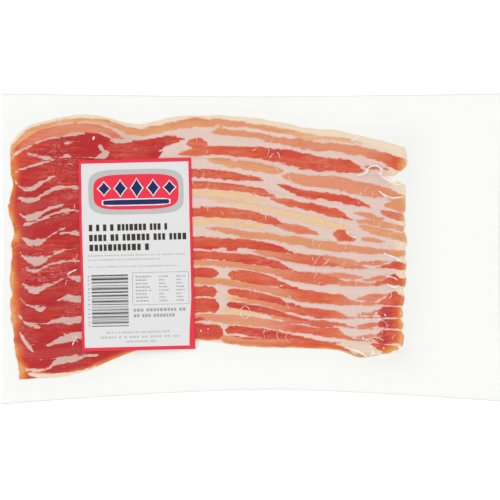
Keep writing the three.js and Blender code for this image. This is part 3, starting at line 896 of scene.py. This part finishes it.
def film_piece():
    """The film over the pile and the film under it, one closed body; its grid is finest at the tips."""
    xs = np.concatenate([
        np.linspace(-pouch_end(0), -159, 3)[:-1],
        np.arange(-159, 58, 1.2),
        np.arange(58, 104, 0.7),
        np.linspace(104, pouch_end(0), 20),
    ])
    shares = np.concatenate([
        np.linspace(-1, -0.88, 9)[:-1],
        np.arange(-0.88, 0.9, 0.0115),
        np.linspace(0.9, 1, 8),
    ])
    x, v = np.meshgrid(xs, shares)
    y = np.where(v < 0, -v * pouch_bottom(x), v * pouch_top(x))
    x = x * pouch_end(y) / pouch_end(0)
    rim = np.zeros(x.shape, bool)
    rim[0] = rim[-1] = True
    rim[:, 0] = rim[:, -1] = True
    to_rim = np.minimum(np.minimum(pouch_top(x) - y, y - pouch_bottom(x)), pouch_end(y) - np.abs(x))
    high = mix(0.14, read_map(film_map, x, y), smooth(to_rim / 3))
    low = np.full(x.shape, 0.06)
    high[rim] = 0.1
    points, faces = pillow(x, y, low, high)
    numbers = {"shade": pillow_numbers(read_map(shade_map, x, y))}
    return mesh_object("film", points, faces, FILM, numbers)


film = film_piece()
print("film faces:", len(film.data.polygons))

# %% [markdown]
# ## The label
# The label is stuck on the film. Paper is stiffer than film, so it rides on the highest steps and
# bridges the rest. It lies turned by a little more than a degree. Its own u runs across it and v up
# it, from its middle, and everything printed on it is placed in u and v and laid on the same surface.

# %% Where the label lies
LABEL_WIDTH = 72.3
LABEL_HEIGHT = 122.6
LABEL_MIDDLE = (-74.1, -3.6)
LABEL_TURN = math.radians(1.3)
PAPER = 0.16
label_map = blurred(highest_near(film_map, 4.8), 3.0, 3)
close_map = highest_near(film_map, 0.6)
label_map = np.maximum(label_map, close_map + 0.05)


def label_place(u, v):
    x = LABEL_MIDDLE[0] + u * math.cos(LABEL_TURN) - v * math.sin(LABEL_TURN)
    y = LABEL_MIDDLE[1] + u * math.sin(LABEL_TURN) + v * math.cos(LABEL_TURN)
    return x, y


def on_label(u, v, lift):
    """Points on the label's face, raised by lift; its edges come down onto the film."""
    x, y = label_place(u, v)
    from_edge = np.minimum(LABEL_WIDTH / 2 - np.abs(u), LABEL_HEIGHT / 2 - np.abs(v))
    z = mix(read_map(close_map, x, y) + 0.2, read_map(label_map, x, y) + 0.3, smooth(from_edge / 5))
    return np.stack([x, y, z + lift], -1)


def label_material():
    p = Painter("label stock")
    uv = p.node("ShaderNodeUVMap", {}, uv_map="print")
    place = p.node("ShaderNodeSeparateXYZ", {"Vector": uv["UV"]})
    # The red border widens at the lower right, where the white was cut a little askew.
    off_u = p.math("ABSOLUTE", p.math("SUBTRACT", place["X"], 0.5))
    off_v = p.math("ABSOLUTE", p.math("SUBTRACT", place["Y"], 0.5))
    from_side = p.math("MULTIPLY", p.math("SUBTRACT", 0.5, off_u), LABEL_WIDTH)
    from_end = p.math("MULTIPLY", p.math("SUBTRACT", 0.5, off_v), LABEL_HEIGHT)
    on_right = p.math("GREATER_THAN", place["X"], 0.5)
    skewed = p.math("MULTIPLY", p.step(place["Y"], 0.04, 0.3, 1.9, 0.0), on_right)
    side_white = p.step(p.math("SUBTRACT", from_side, skewed), 1.75, 1.85)
    end_white = p.step(from_end, 2.35, 2.45)
    white = p.math("MULTIPLY", side_white, end_white)
    fibre = p.math("MULTIPLY_ADD", p.noise((900, 900, 900), 2.0), 0.05, 0.975)
    colour = p.blend(white, paint(228, 51, 73), paint(217, 217, 217))
    roughened = p.bump(p.noise((1500, 1500, 1500), 2.0), 0.00003, 0.3)
    return p.skin(p.toned(colour, fibre), 0.55, 0.3, Normal=roughened)


def label_piece():
    """A sheet of paper with a face, a back and a cut edge."""
    us = np.linspace(-0.5, 0.5, 43) * LABEL_WIDTH
    vs = np.linspace(-0.5, 0.5, 73) * LABEL_HEIGHT
    u, v = np.meshgrid(us, vs)
    top = on_label(u, v, 0.0)
    rows, columns = u.shape
    upper = np.arange(rows * columns).reshape(rows, columns)
    lower = upper + rows * columns
    under = top - [0, 0, PAPER]
    faces = [grid_faces(upper), grid_faces(lower)[:, ::-1]]
    border = np.concatenate([upper[0, :-1], upper[:-1, -1], upper[-1, :0:-1], upper[:0:-1, 0]])
    after = np.roll(border, -1)
    below = border + rows * columns
    faces.append(np.stack([border, below, np.roll(below, -1), after], -1))
    points = np.vstack([top.reshape(-1, 3), under.reshape(-1, 3)])
    obj = mesh_object("label_sheet", points, np.vstack(faces), label_material())
    layer = obj.data.uv_layers.new(name="print")
    spot = np.stack([u / LABEL_WIDTH + 0.5, v / LABEL_HEIGHT + 0.5], -1).reshape(-1, 2)
    spot = np.vstack([spot, spot])
    corners = np.empty(len(obj.data.loops), np.int32)
    obj.data.loops.foreach_get("vertex_index", corners)
    layer.data.foreach_set("uv", spot[corners].astype(np.float32).ravel())
    return obj


label = label_piece()
print("label faces:", len(label.data.polygons))

# %% [markdown]
# ## Print
# A label like this has a badge at the top, three bold lines, small print, a table and a bar code. Lines
# of print and bars are the same thing, a run of marks of uneven width, so one Geometry Nodes tree
# makes them all. It sets out the marks by adding up their widths, so that they never overlap, and
# scales the sum to the run's length. A seed picks the widths.

# %% A tree for a run of marks
class Tree(Wiring):
    """Builds one Geometry Nodes tree with named inputs, which ends in real geometry."""

    def __init__(self, name, wanted):
        super().__init__(bpy.data.node_groups.new(name, "GeometryNodeTree"))
        face = self.tree.interface
        for title, kind, value in wanted:
            socket = face.new_socket(title, in_out="INPUT", socket_type="NodeSocket" + kind)
            if value is not None:
                socket.default_value = value
        face.new_socket("Geometry", in_out="OUTPUT", socket_type="NodeSocketGeometry")
        self.given = self.tree.nodes.new("NodeGroupInput").outputs

    def number(self, kind, a, b):
        return self.node("ShaderNodeMath", {0: a, 1: b}, operation=kind)[0]

    def chance(self, low, high, extra):
        """A number by chance, by the tree's seed plus extra. The node's inputs 2 and 3 are its ends."""
        inputs = {2: low, 3: high, "Seed": self.number("ADD", self.given["Seed"], extra)}
        return self.node("FunctionNodeRandomValue", inputs, data_type="FLOAT")[1]

    def finish(self, material, **placing):
        """Places an instance on every point, makes them real and gives them their material."""
        placed = self.node("GeometryNodeInstanceOnPoints", placing)
        real = self.node("GeometryNodeRealizeInstances", {"Geometry": placed["Instances"]})
        skin = self.node("GeometryNodeSetMaterial", {"Geometry": real["Geometry"], "Material": material})
        self.node("NodeGroupOutput", {"Geometry": skin["Geometry"]})
        return self.tree


def run_of_marks_tree():
    tree = Tree("run of marks", (
        ("Marks", "Int", 12),
        ("Run", "Float", 0.05),
        ("Height", "Float", 0.004),
        ("Narrowest", "Float", 0.5),
        ("Widest", "Float", 1.0),
        ("Gap", "Float", 0.3),
        ("Word gap", "Float", 0.0),
        ("Seed", "Int", 1),
        ("Ink", "Material", None),
    ))
    given = tree.given
    line = tree.node("GeometryNodeMeshLine", {"Count": given["Marks"], "Offset": (0, 0, 0)})
    width = tree.chance(given["Narrowest"], given["Widest"], 0)
    new_word = tree.number("GREATER_THAN", tree.chance(0.0, 1.0, 50), 0.8)
    gap = tree.number("ADD", given["Gap"], tree.number("MULTIPLY", new_word, given["Word gap"]))
    pitch = tree.number("ADD", width, gap)
    add_up = tree.node("GeometryNodeAccumulateField", {0: pitch}, data_type="FLOAT")
    total = tree.number("SUBTRACT", add_up["Total"], given["Gap"])
    scale = tree.number("DIVIDE", given["Run"], total)
    middle = tree.number("ADD", add_up["Trailing"], tree.number("MULTIPLY", width, 0.5))
    offset = tree.node("ShaderNodeCombineXYZ", {"X": tree.number("MULTIPLY", middle, scale)})
    spread = tree.node("GeometryNodeSetPosition", {"Geometry": line["Mesh"], "Offset": offset["Vector"]})
    cells = {"Size X": 1.0, "Size Y": 1.0, "Vertices X": 3, "Vertices Y": 13}
    mark = tree.node("GeometryNodeMeshGrid", cells)
    sizes = {"X": tree.number("MULTIPLY", width, scale), "Y": given["Height"], "Z": 1.0}
    size = tree.node("ShaderNodeCombineXYZ", sizes)
    return tree.finish(given["Ink"], Points=spread["Geometry"], Instance=mark["Mesh"], Scale=size["Vector"])


MARKS_TREE = run_of_marks_tree()


def run_tree(tree, name, **inputs):
    """Runs a tree on an empty mesh with the named inputs and returns the plain mesh it makes."""
    holder = bpy.data.objects.new(name, bpy.data.meshes.new(name))
    bpy.context.scene.collection.objects.link(holder)
    modifier = holder.modifiers.new("made", "NODES")
    modifier.node_group = tree
    by_name = {s.name: s.identifier for s in tree.interface.items_tree if s.in_out == "INPUT"}
    for key, value in inputs.items():
        modifier[by_name[key.replace("_", " ")]] = value
    bpy.context.view_layer.update()
    evaluated = holder.evaluated_get(bpy.context.evaluated_depsgraph_get())
    made = bpy.data.meshes.new_from_object(evaluated)
    bpy.data.objects.remove(holder)
    return made


def ink(name, colour):
    """Ink with a fine unevenness, as a printing screen leaves it."""
    p = Painter(name)
    screen = p.math("MULTIPLY_ADD", p.noise((1400, 1400, 1400), 2.0), 0.12, 0.94)
    return p.skin(p.toned(colour, screen), 0.5, 0.3)


DARK_INK = ink("dark ink", paint(58, 50, 50))
GREY_INK = ink("grey ink", paint(158, 158, 158))
PALE_INK = ink("pale ink", paint(184, 184, 182))
RED_INK = ink("red ink", paint(228, 51, 73))
NAVY_INK = ink("navy ink", paint(30, 40, 92))
WHITE_INK = ink("white ink", paint(225, 225, 225))

# %% [markdown]
# A printed piece is made flat, in u and v. To lay it on the label, each of its points keeps its place
# and takes the label's height there plus a hair, more for what is printed on top of other print.

# %% Laying print on the label
prints = []
LIFTS = (0.02, 0.045, 0.07, 0.095)


def lay_print(mesh, name, u, v, turn=0.0, lift=LIFTS[0]):
    """Turns a flat mesh, moves it to u and v in mm and presses it onto the label."""
    flat = np.empty(len(mesh.vertices) * 3)
    mesh.vertices.foreach_get("co", flat)
    flat = flat.reshape(-1, 3)[:, :2] / MM
    c, s = math.cos(turn), math.sin(turn)
    pu = u + flat[:, 0] * c - flat[:, 1] * s
    pv = v + flat[:, 0] * s + flat[:, 1] * c
    mesh.vertices.foreach_set("co", (on_label(pu, pv, lift) * MM).ravel())
    mesh.update()
    mesh.name = name
    obj = bpy.data.objects.new(name, mesh)
    bpy.context.scene.collection.objects.link(obj)
    prints.append(obj)
    return obj


def print_line(name, u, v, run, height, marks, seed, ink_used, style, turn=0.0):
    """Prints a run of marks. Its style is the narrowest mark, the widest, the gap and the word gap."""
    narrow, wide, gap, word = style
    made = run_tree(
        MARKS_TREE, name, Marks=marks, Run=run * MM, Height=height * MM,
        Narrowest=narrow, Widest=wide, Gap=gap, Word_gap=word, Seed=seed, Ink=ink_used,
    )
    return lay_print(made, name, u, v, turn)


def print_shape(name, outline, ink_used, u, v, lift=LIFTS[0], cells=1.6):
    """Prints a filled outline, which is made as rings of points round its middle."""
    rings = max(2, int(np.max(np.linalg.norm(outline, axis=1)) / cells))
    n = len(outline)
    points = [[0, 0, 0]]
    for r in range(1, rings + 1):
        points += [[px * r / rings, py * r / rings, 0] for px, py in outline]
    faces = [[0, 1 + i, 1 + (i + 1) % n] for i in range(n)]
    for r in range(rings - 1):
        a = 1 + r * n
        faces += [[a + i, a + n + i, a + n + (i + 1) % n, a + (i + 1) % n] for i in range(n)]
    mesh = bpy.data.meshes.new(name)
    mesh.from_pydata((np.array(points, float) * MM).tolist(), [], faces)
    mesh.materials.append(ink_used)
    return lay_print(mesh, name, u, v, lift=lift)


def bowed_outline(width, height, power, points):
    """Outline with width and height: a diamond where power is 1, an ellipse at 2, near a box above 5."""
    angle = np.linspace(0, 2 * math.pi, points, endpoint=False)
    across = np.abs(np.cos(angle) / (width / 2)) ** power
    up = np.abs(np.sin(angle) / (height / 2)) ** power
    size = (across + up) ** (-1 / power)
    return np.stack([np.cos(angle) * size, np.sin(angle) * size], -1)


def rounded_box(width, height, corner):
    return bowed_outline(width, height, 2 + 10 * (1 - corner), 96)


def rule(width, height):
    """A thin printed rule, with enough corners along it to follow the label."""
    n = 24
    across = np.linspace(-width / 2, width / 2, n)
    up = np.linspace(-height / 2, height / 2, n)
    foot = [(x, -height / 2) for x in across[:-1]] + [(width / 2, y) for y in up[:-1]]
    head = [(x, height / 2) for x in across[:0:-1]] + [(-width / 2, y) for y in up[:0:-1]]
    return np.array(foot + head)


# %% [markdown]
# The layout, from the top: a red badge in a pale frame, with a row of navy diamonds over a navy band,
# all edged in white, then three bold lines and three of small print. Below them the bar code stands at
# the left, with a table and two notice lines to the right of it, and three short lines for the maker
# are at the foot. All writing is plain marks.

# %% The label's print
BOLD = (0.75, 1.1, 0.35, 0.8)
SMALL = (0.5, 1.5, 0.3, 0.6)
IN_TABLE = (0.5, 1.4, 0.3, 0.4)
NOTICE = (0.7, 1.1, 0.35, 0.8)
MAKER = (0.5, 1.2, 0.3, 0.7)
FINE_BARS = (0.35, 1.6, 0.8, 0.8)
SPARSE_BARS = (0.35, 1.3, 1.9, 1.9)
DIGITS = (0.5, 0.8, 1.0, 0.4)
UPRIGHT = -math.pi / 2

print_shape("badge_frame", rounded_box(61, 29, 0.75), PALE_INK, 0.5, 40.2)
print_shape("badge", rounded_box(54.5, 22.5, 0.8), RED_INK, 0.5, 40.2, LIFTS[1])
for i in range(5):
    at = -20.5 + 10.5 * i
    tall = 11.5 - 1.6 * abs(i - 2)
    for part, grow, ink_used, lift in (
        ("edge", 1.9, WHITE_INK, LIFTS[2]),
        ("heart", 0.0, NAVY_INK, LIFTS[3]),
    ):
        gem = bowed_outline(7.4 + grow, tall + grow, 0.9, 48)
        print_shape(f"badge_diamond_{part}_{i}", gem, ink_used, at + 0.5, 42.6, lift)
print_shape("badge_band_edge", rounded_box(44, 4.6, 0.35), WHITE_INK, 0.5, 33.6, LIFTS[2])
print_shape("badge_band", rounded_box(42.6, 3.2, 0.35), NAVY_INK, 0.5, 33.6, LIFTS[3])

for i, (v, run, marks, seed) in enumerate(((17.6, 50, 15, 3), (11.2, 62, 19, 4), (4.9, 38, 12, 7))):
    print_line(f"bold_line_{i + 1}", -30, v, run, 4.2, marks, seed, DARK_INK, BOLD)
for i, (v, run) in enumerate(((-0.2, 62), (-2.9, 46), (-7.4, 57))):
    print_line(f"small_line_{i + 1}", -31, v, run, 0.8, 40, 11 + i, PALE_INK, SMALL)

for i, (bars, seed, ink_used, style) in enumerate((
    (26, 21, GREY_INK, FINE_BARS),
    (15, 38, DARK_INK, SPARSE_BARS),
)):
    print_line(f"bar_code_{i + 1}", -17.5, -12.5, 33, 23.5, bars, seed, ink_used, style, UPRIGHT)
print_line("bar_code_digits", -31.0, -13, 32, 1.0, 13, 52, GREY_INK, DIGITS, UPRIGHT)

for name, u, v, width, height in (
    ("table_top", 15, -11.5, 36, 0.3),
    ("table_foot", 15, -32, 36, 0.3),
    ("table_left", -3, -21.75, 0.3, 20.5),
    ("table_right", 33, -21.75, 0.3, 20.5),
):
    print_shape(name, rule(width, height), GREY_INK, u, v, cells=0.9)
for row in range(8):
    v = -14.2 - 2.2 * row
    for column, (u, longest) in enumerate(((-1, 10), (14, 6), (25, 6))):
        run = longest - (row * 3 % 4)
        seed = 60 + 3 * row + column
        print_line(f"table_{row}_{column}", u, v, run, 0.8, 5, seed, GREY_INK, IN_TABLE)

for i, (v, run, marks) in enumerate(((-35.4, 33, 14), (-39.0, 26, 12))):
    print_line(f"notice_{i + 1}", -2.5, v, run, 1.9, marks, 91 + i, GREY_INK, NOTICE)
for i, (u, run) in enumerate(((-20, 40), (-24, 50), (-8, 20))):
    v = -49.5 - 3.0 * i
    print_line(f"maker_line_{i + 1}", u, v, run, 1.2, 26 - 6 * i, 95 + i, PALE_INK, MAKER)
print("pieces of print:", len(prints))

# %% [markdown]
# ## Glints
# Where the film is pinched between meat and meat it stands up in small creases, and here and there it
# closes round a bubble of air. Seen from above these catch the light as pale lines and dots, so they are
# painted a pale, nearly opaque white, more in some places than in others: a painted glint.

# %% Painted glints on creased film
def painted_glint_material():
    p = Painter("creased film")
    # Painted glint: a pale, mostly opaque white stands in for the light that creases and blisters catch.
    tone = p.step(p.noise((500, 500, 500), 2.0), 0.3, 0.7)
    return p.skin(p.blend(tone, (0.93, 0.93, 0.92, 1.0), (1.0, 1.0, 0.99, 1.0)), 0.35, 0.4, Alpha=0.82)


GLINT_FILM = painted_glint_material()

# %% [markdown]
# Each crease is a thin arched strip of film along a short path, lowest at its ends. The larger ones
# are laid out one by one, most of them round the rashers' right tips. Hairline wrinkles are scattered
# by chance over the places where the film has most to gather, with a fixed seed.

# %% Creases
# Half the crease's width, then its path.
CREASES = [
    (0.42,
     [(67, 47.2), (72.5, 48.6), (74.5, 52.2), (79, 53.4), (83, 50.4), (82, 47.6), (85.5, 45), (92, 42.4)]),
    (0.24, [(68, 48.6), (71.5, 49.6), (73, 51.6)]),
    (0.26, [(80.6, 49.4), (83.6, 46.2), (88.5, 44.4), (97, 43.4)]),
    (0.2, [(86, 43.6), (91, 41.4), (96.6, 41.8)]),
    (0.42, [(80.5, 37.4), (85.5, 34.2), (90, 32.8), (97, 33.4)]),
    (0.2, [(82.5, 35.2), (87, 32.4), (91, 31.8)]),
    (0.5, [(84, -2.6), (88, -4.4), (92, -6), (95.5, -8.2)]),
    (0.2, [(86, -5), (90, -7), (94, -8)]),
    (0.34, [(85, -17.4), (90, -18.2), (93, -20)]),
    (0.4, [(86, -22.4), (90, -24.4), (94, -23.2)]),
    (0.2, [(87, -26), (89, -29.4), (87.4, -32)]),
    (0.3, [(59.4, 11.6), (62, 8.6), (66, 7.2)]),
    (0.45, [(59.4, -63.2), (68, -65.6), (76, -70.4), (84, -70), (90, -66), (95, -64.6)]),
    (0.26, [(74, -68.6), (80, -67), (86, -68)]),
    (0.16,
     [(-5.2, -36.2), (-7.6, -39), (-7.2, -42.8), (-4, -44.2), (-1.6, -41.6), (-2.6, -37.6), (-5.2, -36.2)]),
    (0.14, [(49, -6), (43, -13), (39, -19)]),
    (0.14, [(44.6, -2.2), (40.6, -8), (37.6, -14.6)]),
    (0.14, [(8, -50.4), (7.2, -54), (8, -57)]),
    (0.14, [(16.4, -52), (15.6, -55.6), (17, -58.4)]),
    (0.14, [(22.4, -53), (21.4, -57), (23.4, -60)]),
    (0.42, [(-118.6, -16.2), (-115.4, -14.4), (-112.6, -13.2)]),
    (0.3, [(-112, -55), (-113.6, -58), (-115.2, -61.6)]),
    (0.2, [(70, -46), (77, -44.6), (84, -46.2), (87, -49.6)]),
    (0.22, [(72, -58.4), (79, -56.4), (84, -58.6)]),
    (0.18, [(63, 68.6), (67.4, 71.8), (70, 71)]),
]
# How many hairlines, then the x from and to and the y from and to.
WRINKLED = [
    (24, -44, 26, 40, 73),
    (16, -42, 12, 12, 40),
    (26, 62, 96, -66, 48),
    (8, 34, 60, -24, 8),
    (7, -123, -110, -62, 60),
    (9, -30, 60, -62, -20),
]


def fine_wrinkles():
    """Hairlines scattered over the stretches in WRINKLED, each a path of three short steps."""
    chance = np.random.default_rng(77)
    found = []
    for count, left, right, low, high in WRINKLED:
        for _ in range(count):
            at = np.array([chance.uniform(left, right), chance.uniform(low, high)])
            heading = chance.uniform(0.9, 2.4)
            path = [tuple(at)]
            for _ in range(3):
                heading += chance.uniform(-0.6, 0.6)
                at = at + chance.uniform(0.8, 1.9) * np.array([math.cos(heading), math.sin(heading)])
                path.append(tuple(at))
            found.append((chance.uniform(0.08, 0.17), path))
    return found


def crease(i, half_width, path):
    """Points and faces of one arched strip."""
    path = np.array(path, float)
    length = np.concatenate([[0], np.cumsum(np.linalg.norm(np.diff(path, axis=0), axis=1))])
    n = max(10, int(length[-1] / 0.45))
    at = np.linspace(0, length[-1], n)
    x = smooth_curve(length, path[:, 0], at)
    y = smooth_curve(length, path[:, 1], at)
    along = np.stack([np.gradient(x), np.gradient(y)], -1)
    along /= np.linalg.norm(along, axis=1)[:, None] + 1e-9
    side = np.stack([-along[:, 1], along[:, 0]], -1)
    arch = np.linspace(-1, 1, 7)
    ends = rounded(np.minimum(at, length[-1] - at) / 2.2)
    slow = soft_noise(500, at + 9 * i, at, 2.4, 3)
    quick = soft_noise(520, at + 9 * i, at, 0.9, 3)
    uneven = 1 + 0.4 * slow + 0.4 * quick
    size = half_width * (0.25 + 0.75 * ends) * np.maximum(uneven, 0.15)
    px = x[:, None] + side[:, :1] * arch * size[:, None]
    py = y[:, None] + side[:, 1:] * arch * size[:, None]
    rise = (1 - arch**2)[None, :] * (size * 1.1 * (0.2 + 0.8 * ends))[:, None]
    pz = read_map(film_map, px, py) + 0.02 + rise
    ids = np.arange(px.size).reshape(px.shape)
    return np.stack([px, py, pz], -1).reshape(-1, 3), grid_faces(ids)


def creases_piece():
    """All creases and hairlines, as one mesh."""
    points = []
    faces = []
    count = 0
    for i, (half_width, path) in enumerate(CREASES + fine_wrinkles()):
        p, f = crease(i, half_width, path)
        points.append(p)
        faces.append(f + count)
        count += len(p)
    return mesh_object("film_creases", np.vstack(points), np.vstack(faces), GLINT_FILM)


creases = creases_piece()
print("creases:", len(CREASES))

# %% [markdown]
# A blister is a bubble of air under the film: a flattened ball, half sunk in the film. A second tree
# sets one on each of the points below, at that point's size, and turns it by chance with a fixed seed.

# %% Blisters
# Place and half length.
BLISTERS = [
    (29, -14, 0.5), (18.4, -23.6, 0.8), (-13, -18, 0.5), (-33, -52.4, 0.8), (-28.4, -51.2, 0.6),
    (64.6, 6.4, 0.5), (59.4, 0.6, 0.6), (80.4, 1.2, 0.5), (68.8, -41, 0.9), (79, -41, 1.0),
    (84.8, -42.2, 0.9), (77.8, -50.6, 0.6), (70.8, -57, 1.1), (83, -53, 0.6), (77, -66, 1.4),
    (84, -63.4, 0.7), (-101.8, 71, 1.3), (-115, -56.4, 0.6),
]
FLATTENED = (1.0, 0.5, 0.5)


def blister_tree():
    tree = Tree("blisters", (("Points", "Object", None), ("Film", "Material", None)))
    read = tree.node("GeometryNodeObjectInfo", {"Object": tree.given["Points"]})
    ball = tree.node("GeometryNodeMeshUVSphere", {"Segments": 18, "Rings": 12, "Radius": 1.0})
    size = tree.node("GeometryNodeInputNamedAttribute", {"Name": "size"}, data_type="FLOAT")
    shape = {0: size["Attribute"], 1: FLATTENED}
    flattened = tree.node("ShaderNodeVectorMath", shape, operation="MULTIPLY")
    turns = {"Max": (0.3, 0.3, 3.0), "Seed": 5}
    turn = tree.node("FunctionNodeRandomValue", turns, data_type="FLOAT_VECTOR")
    return tree.finish(
        tree.given["Film"], Points=read["Geometry"], Instance=ball["Mesh"],
        Scale=flattened["Vector"], Rotation=turn["Value"],
    )


def blisters_piece():
    spots = np.array(BLISTERS, float)
    z = read_map(film_map, spots[:, 0], spots[:, 1]) + 0.05
    points = np.column_stack([spots[:, :2], z])
    no_faces = np.empty((0, 4), int)
    marks = mesh_object("blister_points", points, no_faces, GLINT_FILM, {"size": spots[:, 2] * MM})
    # The blisters wear the same painted glint as the creases.
    made = run_tree(blister_tree(), "film_blisters", Points=marks, Film=GLINT_FILM)
    bpy.data.objects.remove(marks)
    made.shade_smooth()
    obj = bpy.data.objects.new("film_blisters", made)
    bpy.context.scene.collection.objects.link(obj)
    return obj


blisters = blisters_piece()
print("blisters:", len(BLISTERS), "faces:", len(blisters.data.polygons))

# %% [markdown]
# ## On the frame
# Everything in the pouch stands for the one solid, and so does the film. The print goes with the
# label.

# %% Riding and replacing
for obj in [*rashers, film, creases, blisters]:
    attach(obj, "root")
for obj in [*rashers, film]:
    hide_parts("pouch")
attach(label, "root")
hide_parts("label")
for obj in prints:
    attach(obj, "root")

# %% [markdown]
# ## Table, lamps and camera
# The table is white and brightly lit, so bright that it leaves no tone of its own, as in a product
# shot. Part of its light is its own glow, which keeps it even, and part is what the lamps throw on it,
# which lets the pack's soft shadow fall. Four lamps shine on the pack at a slant, one from each side,
# and are left out of what surfaces mirror. The film mirrors only the room, which is dark straight
# above, so that flat film stays clear, and bright all round below that, so that creases glint.

# %% Table and lamps
TABLE_GLOW = 0.28
TABLE_REACH = 2500.0
TABLE_DROP = 0.05
LAMP_RISE = math.radians(42)
LAMP_DISTANCE = 1.5
LAMP_SIZE = (0.5, 0.4)


def table_material():
    p = Painter("table")
    tone = p.step(p.noise((6, 6, 6), 2.0), 0.0, 1.0, 0.995, 1.005)
    strength = p.math("MULTIPLY", tone, TABLE_GLOW)
    glow = p.node("ShaderNodeEmission", {"Strength": strength, "Color": (1, 1, 1, 1)})
    matte = p.node("ShaderNodeBsdfDiffuse", {"Color": (0.8, 0.8, 0.8, 1)})
    return p.surface(p.node("ShaderNodeAddShader", {0: glow[0], 1: matte[0]}))


def lamp(name, azimuth, power):
    data = bpy.data.lights.new(name, "AREA")
    data.shape = "RECTANGLE"
    data.size, data.size_y = LAMP_SIZE
    data.energy = power
    obj = bpy.data.objects.new(name, data)
    away = math.cos(LAMP_RISE) * LAMP_DISTANCE
    a = math.radians(azimuth)
    obj.location = (math.cos(a) * away, math.sin(a) * away, math.sin(LAMP_RISE) * LAMP_DISTANCE)
    obj.rotation_mode = "QUATERNION"
    obj.rotation_quaternion = obj.location.to_track_quat("Z", "Y")
    obj.visible_glossy = False
    bpy.context.scene.collection.objects.link(obj)
    return obj


corners = [[TABLE_REACH * x, TABLE_REACH * y, -TABLE_DROP] for x, y in ((-1, -1), (1, -1), (1, 1), (-1, 1))]
table_top = mesh_object("table", corners, [[0, 1, 2, 3]], table_material())

lamp("left lamp", 180, 3.5)
lamp("far lamp", 80, 2.3)
lamp("right lamp", 0, 2.0)
lamp("near lamp", 280, 2.3)

world = bpy.data.worlds.new("room")
world.use_nodes = True
room = Wiring(world.node_tree)
looking = room.node("ShaderNodeTexCoord", {})
heading = room.node("ShaderNodeSeparateXYZ", {"Vector": looking["Generated"]})
fade = {"Value": heading["Z"], "From Min": 0.8, "From Max": 0.95, "To Min": 0.98, "To Max": 0.05}
level = room.node("ShaderNodeMapRange", fade, interpolation_type="SMOOTHSTEP")
background = world.node_tree.nodes["Background"]
world.node_tree.links.new(level["Result"], background.inputs["Strength"])
background.inputs["Color"].default_value = (1, 1, 1, 1)
bpy.context.scene.world = world

# %% [markdown]
# The lens is long and the camera far off, straight above, so that nothing leans. One picture's width
# takes in 320 mm of table, which leaves the pouch's empty end just outside the picture.

# %% Camera
PICTURE_WIDTH = 320
LENS = 120
SENSOR = 36
PICTURE_MIDDLE = (-1.6, -0.64)
FOCUS_HEIGHT = 4
lens = bpy.data.cameras.new("camera")
lens.lens = LENS
lens.sensor_width = SENSOR
lens.dof.use_dof = False
camera = bpy.data.objects.new("camera", lens)
camera_height = PICTURE_WIDTH * MM / SENSOR * LENS + FOCUS_HEIGHT * MM
camera.location = (PICTURE_MIDDLE[0] * MM, PICTURE_MIDDLE[1] * MM, camera_height)
bpy.context.scene.collection.objects.link(camera)
bpy.context.scene.camera = camera
bpy.context.scene.view_settings.view_transform = "Standard"
bpy.context.scene.view_settings.look = "None"
bpy.context.scene.view_settings.exposure = 0
bpy.context.scene.view_settings.gamma = 1
